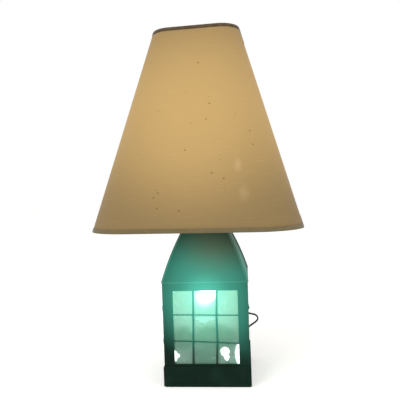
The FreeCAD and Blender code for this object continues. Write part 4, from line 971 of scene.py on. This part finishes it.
# %% Rolled glass
PANE_BLOOM = (TOP_PANE, 2 * MM, 23 * MM, 1.0)
PANE_CYAN = (TOP_PANE, 12 * MM, 50 * MM, 1.0)
PANE_GLOW = (SMALL_BULB, 35 * MM, 108 * MM, 0.33)
tone = linear("#b4e6d2")
# the pane's colour is drawn deeper in the painted shade and white in the painted light
for share, colour in ((waves.outputs["Fac"], "#c8f0e0"), (dim_shade, "#97d2b9"), (white, "#ffffff")):
    tone = add_node(tree, "ShaderNodeMix", {0: share, 6: tone, 7: linear(colour)},
                    data_type="RGBA").outputs[2]
bloom = glow_near(tree, *PANE_BLOOM)
strength = glow_near(tree, *PANE_GLOW)
# the white patches, the faint reflections and the bloom glow: painted light
for share, amount in ((faint, 0.14), (white, 0.75), (bloom, 0.6)):
    strength = add_node(tree, "ShaderNodeMath", {0: share, 1: amount, 2: strength},
                        operation="MULTIPLY_ADD").outputs["Value"]
whitened = add_node(tree, "ShaderNodeMath", {0: white, 1: bloom}, operation="MAXIMUM").outputs["Value"]
light = linear("#a0f5d8")
# the painted glow turns cyan near the bulb and deeper in the painted shade
for share, colour in ((glow_near(tree, *PANE_CYAN), "#98ffee"), (dim_shade, "#74ccab"),
                      (whitened, "#fff8fa")):
    light = add_node(tree, "ShaderNodeMix", {0: share, 6: light, 7: linear(colour)},
                     data_type="RGBA").outputs[2]
surface(tree, add_node(tree, "ShaderNodeBsdfPrincipled", {
    "Base Color": tone, "Roughness": 0.1, "IOR": 1.52, "Transmission Weight": 0.7,
    "Normal": bump.outputs["Normal"], "Emission Color": light, "Emission Strength": strength}))
dress(glass, nodes["door_glass"], nodes["left_glass"], nodes["right_glass"])
print("glass nodes", len(tree.nodes))

# %% [markdown]
# Both bulbs are frosted inside. The large one gives a warm light and the small one a cool one.

# %% Frosted bulbs
FROST_MM = 1.5


def lit_bulb(name, glass_colour, light_colour, strength):
    """Frosted glass that gives light."""
    material, tree = new_material(name)
    coords = add_node(tree, "ShaderNodeTexCoord").outputs["Object"]
    frost = add_node(tree, "ShaderNodeTexNoise", {"Vector": coords, "Scale": grain(FROST_MM), "Detail": 2.0})
    rough = add_node(tree, "ShaderNodeMapRange", {"Value": frost.outputs["Fac"], "To Min": 0.25,
                                                  "To Max": 0.4})
    tone = add_node(tree, "ShaderNodeMix", {0: frost.outputs["Fac"], 6: linear(glass_colour),
                                            7: linear("#ffffff")}, data_type="RGBA")
    surface(tree, add_node(tree, "ShaderNodeBsdfPrincipled", {
        "Base Color": tone.outputs[2], "Roughness": rough.outputs["Result"],
        "Emission Color": linear(light_colour), "Emission Strength": strength}))
    return material


dress(lit_bulb("frosted_glass_warm", "#fff3dd", "#ffdca8", 5.0), nodes["bulb_glass"])
dress(lit_bulb("frosted_glass_cool", "#eefaf6", "#c9fff0", 11.0), nodes["night_bulb_glass"])
print("materials so far", len(bpy.data.materials))

# %% [markdown]
# The metals keep the default IOR. Brass here is lacquered, spun or drawn, with fine turning marks; the rings,
# clips and screws are zinc-plated steel, greyer and rougher.

# %% Brass, plated steel, bulb caps and iron
TARNISH_MM = 11


def metal(name, colour, second, roughness, mark_mm, metallic=1.0, bump_strength=0.08):
    """Metal with turning marks of a size, tarnished to a second colour in places."""
    material, tree = new_material(name)
    coords = add_node(tree, "ShaderNodeTexCoord").outputs["Object"]
    flat = add_node(tree, "ShaderNodeMapping", {"Vector": coords, "Scale": (0.15, 0.15, 1.0)})
    marks = add_node(tree, "ShaderNodeTexNoise", {"Vector": flat.outputs["Vector"], "Scale": grain(mark_mm),
                                                  "Detail": 3.0})
    clouds = add_node(tree, "ShaderNodeTexNoise", {"Vector": coords, "Scale": grain(TARNISH_MM),
                                                   "Detail": 3.0})
    tarnish = add_node(tree, "ShaderNodeMapRange", {"Value": clouds.outputs["Fac"], "From Min": 0.4,
                                                    "From Max": 0.75})
    tone = add_node(tree, "ShaderNodeMix", {0: tarnish.outputs["Result"], 6: linear(colour),
                                            7: linear(second)}, data_type="RGBA")
    rough = add_node(tree, "ShaderNodeMapRange", {"Value": marks.outputs["Fac"], "To Min": roughness - 0.07,
                                                  "To Max": roughness + 0.1})
    bump = add_node(tree, "ShaderNodeBump", {"Height": marks.outputs["Fac"], "Strength": bump_strength,
                                             "Distance": 0.2 * MM})
    surface(tree, add_node(tree, "ShaderNodeBsdfPrincipled", {
        "Base Color": tone.outputs[2], "Metallic": metallic, "Roughness": rough.outputs["Result"],
        "Normal": bump.outputs["Normal"]}))
    return material


brass = metal("lacquered_brass", "#c9a25a", "#a8803e", 0.26, 0.8)
zinc = metal("zinc_plated_steel", "#b9bab4", "#8f918d", 0.38, 0.6)
dress(brass, *(nodes[n] for n in ("lamp_stem", "stem_nuts", "neck_spacer", "socket_cap", "socket_shell",
                                  "harp_saddle", "harp_ferrules", "harp_wire", "finial", "plug_prongs")))
dress(zinc, *(nodes[n] for n in ("base_plate", "ballast_screws", "door_glass_clips", "side_glass_clips",
                                 "hinge_pins", "stem_washer", "shade_bottom_ring", "shade_fitter",
                                 "shade_hub")), *rivets)
dress(metal("bulb_cap_aluminium", "#cfd0ce", "#b2b3b0", 0.3, 0.9), nodes["bulb_cap"], nodes["night_bulb_cap"])
dress(metal("cast_iron", "#3b3a38", "#2a2928", 0.62, 1.2, metallic=0.6, bump_strength=0.6),
      nodes["ballast_block"])
print("materials so far", len(bpy.data.materials))

# %% [markdown]
# The flex and plug are soft vinyl, nearly black with a green cast in this light; the lampholders and knob are
# phenolic, hard and a little glossy with a faint mottle; the pad under the base is wool felt.

# %% Vinyl, phenolic and felt
def moulding(name, colour, second, roughness, mottle_mm, bump_strength=0.05, sheen=0.0, coat=0.0):
    """A soft or hard material, mottled in two tones."""
    material, tree = new_material(name)
    coords = add_node(tree, "ShaderNodeTexCoord").outputs["Object"]
    mottle = add_node(tree, "ShaderNodeTexNoise", {"Vector": coords, "Scale": grain(mottle_mm),
                                                   "Detail": 4.0})
    tone = add_node(tree, "ShaderNodeMix", {0: mottle.outputs["Fac"], 6: linear(colour), 7: linear(second)},
                    data_type="RGBA")
    rough = add_node(tree, "ShaderNodeMapRange", {"Value": mottle.outputs["Fac"], "To Min": roughness - 0.06,
                                                  "To Max": roughness + 0.08})
    bump = add_node(tree, "ShaderNodeBump", {"Height": mottle.outputs["Fac"], "Strength": bump_strength,
                                             "Distance": 0.3 * MM})
    surface(tree, add_node(tree, "ShaderNodeBsdfPrincipled", {
        "Base Color": tone.outputs[2], "Roughness": rough.outputs["Result"], "Sheen Weight": sheen,
        "Coat Weight": coat, "Normal": bump.outputs["Normal"]}))
    return material


dress(moulding("vinyl_flex", "#1f3029", "#2a3d35", 0.42, 2.0), flex, lead, plug, relief, strap)
dress(moulding("phenolic", "#1c1613", "#2d2219", 0.3, 1.5, coat=0.2), nodes["night_socket"],
      nodes["socket_core"], nodes["switch_knob"])
dress(moulding("wool_felt", "#15231b", "#22342a", 0.95, 0.7, bump_strength=0.8, sheen=0.4), nodes["felt_pad"])
print("materials on the lamp", len(bpy.data.materials))

# %% [markdown]
# The stage is a plain pale floor under plain soft light. The background is white to the eye, to mirrors and
# through glass, but the light that falls on the lamp stays at a plain level.

# %% Floor
FLOOR_LIFT = 0.42
floor_mesh = bpy.data.meshes.new("floor")
floor_mesh.from_pydata([(-6, -4, 0), (6, -4, 0), (6, 9, 0), (-6, 9, 0)], [], [(0, 1, 2, 3)])
floor = bpy.data.objects.new("floor", floor_mesh)
bpy.context.scene.collection.objects.link(floor)
floor_material, tree = new_material("pale_floor")
path = add_node(tree, "ShaderNodeLightPath")
seen = add_node(tree, "ShaderNodeMath", {0: path.outputs["Is Camera Ray"], 1: FLOOR_LIFT},
                operation="MULTIPLY")
surface(tree, add_node(tree, "ShaderNodeBsdfPrincipled", {
    "Base Color": linear("#f5f5f3"), "Roughness": 0.9, "Specular IOR Level": 0.1,
    "Emission Color": (1, 1, 1, 1), "Emission Strength": seen.outputs["Value"]}))
dress(floor_material, floor)
print("floor", [round(v) for v in floor.dimensions[:2]], "m")

# %% White surroundings
PLAIN_LEVEL, WHITE_LEVEL = 0.62, 1.0
world = bpy.data.worlds.new("studio")
bpy.context.scene.world = world
world.use_nodes = True
tree = world.node_tree
tree.nodes.clear()
path = add_node(tree, "ShaderNodeLightPath")
seen = path.outputs["Is Camera Ray"]
for ray in ("Is Glossy Ray", "Is Transmission Ray"):
    seen = add_node(tree, "ShaderNodeMath", {0: seen, 1: path.outputs[ray]},
                    operation="MAXIMUM").outputs["Value"]
level = add_node(tree, "ShaderNodeMapRange", {"Value": seen, "To Min": PLAIN_LEVEL,
                                              "To Max": WHITE_LEVEL})
sky = add_node(tree, "ShaderNodeBackground", {"Color": (1, 1, 1, 1), "Strength": level.outputs["Result"]})
add_node(tree, "ShaderNodeOutputWorld", {"Surface": sky.outputs["Background"]})
print("light from all round", PLAIN_LEVEL)

# %% Soft lamps
LAMP_AIM = at(0, 0, 280)


def soft_lamp(name, place, size, power):
    """A square lamp turned towards the middle of the object."""
    lamp_data = bpy.data.lights.new(name, "AREA")
    lamp_data.size = size
    lamp_data.energy = power
    lamp = bpy.data.objects.new(name, lamp_data)
    bpy.context.scene.collection.objects.link(lamp)
    lamp.location = place
    aim = LAMP_AIM - lamp.location
    lamp.rotation_mode = "QUATERNION"
    lamp.rotation_quaternion = aim.to_track_quat("-Z", "Y")


soft_lamp("key_lamp", Vector((-1.1, -1.5, 1.5)), 1.2, 18)
soft_lamp("fill_lamp", Vector((1.5, -1.0, 0.9)), 1.4, 8)
bpy.context.scene.view_settings.view_transform = "Standard"
print("soft lamps", len(bpy.data.lights))
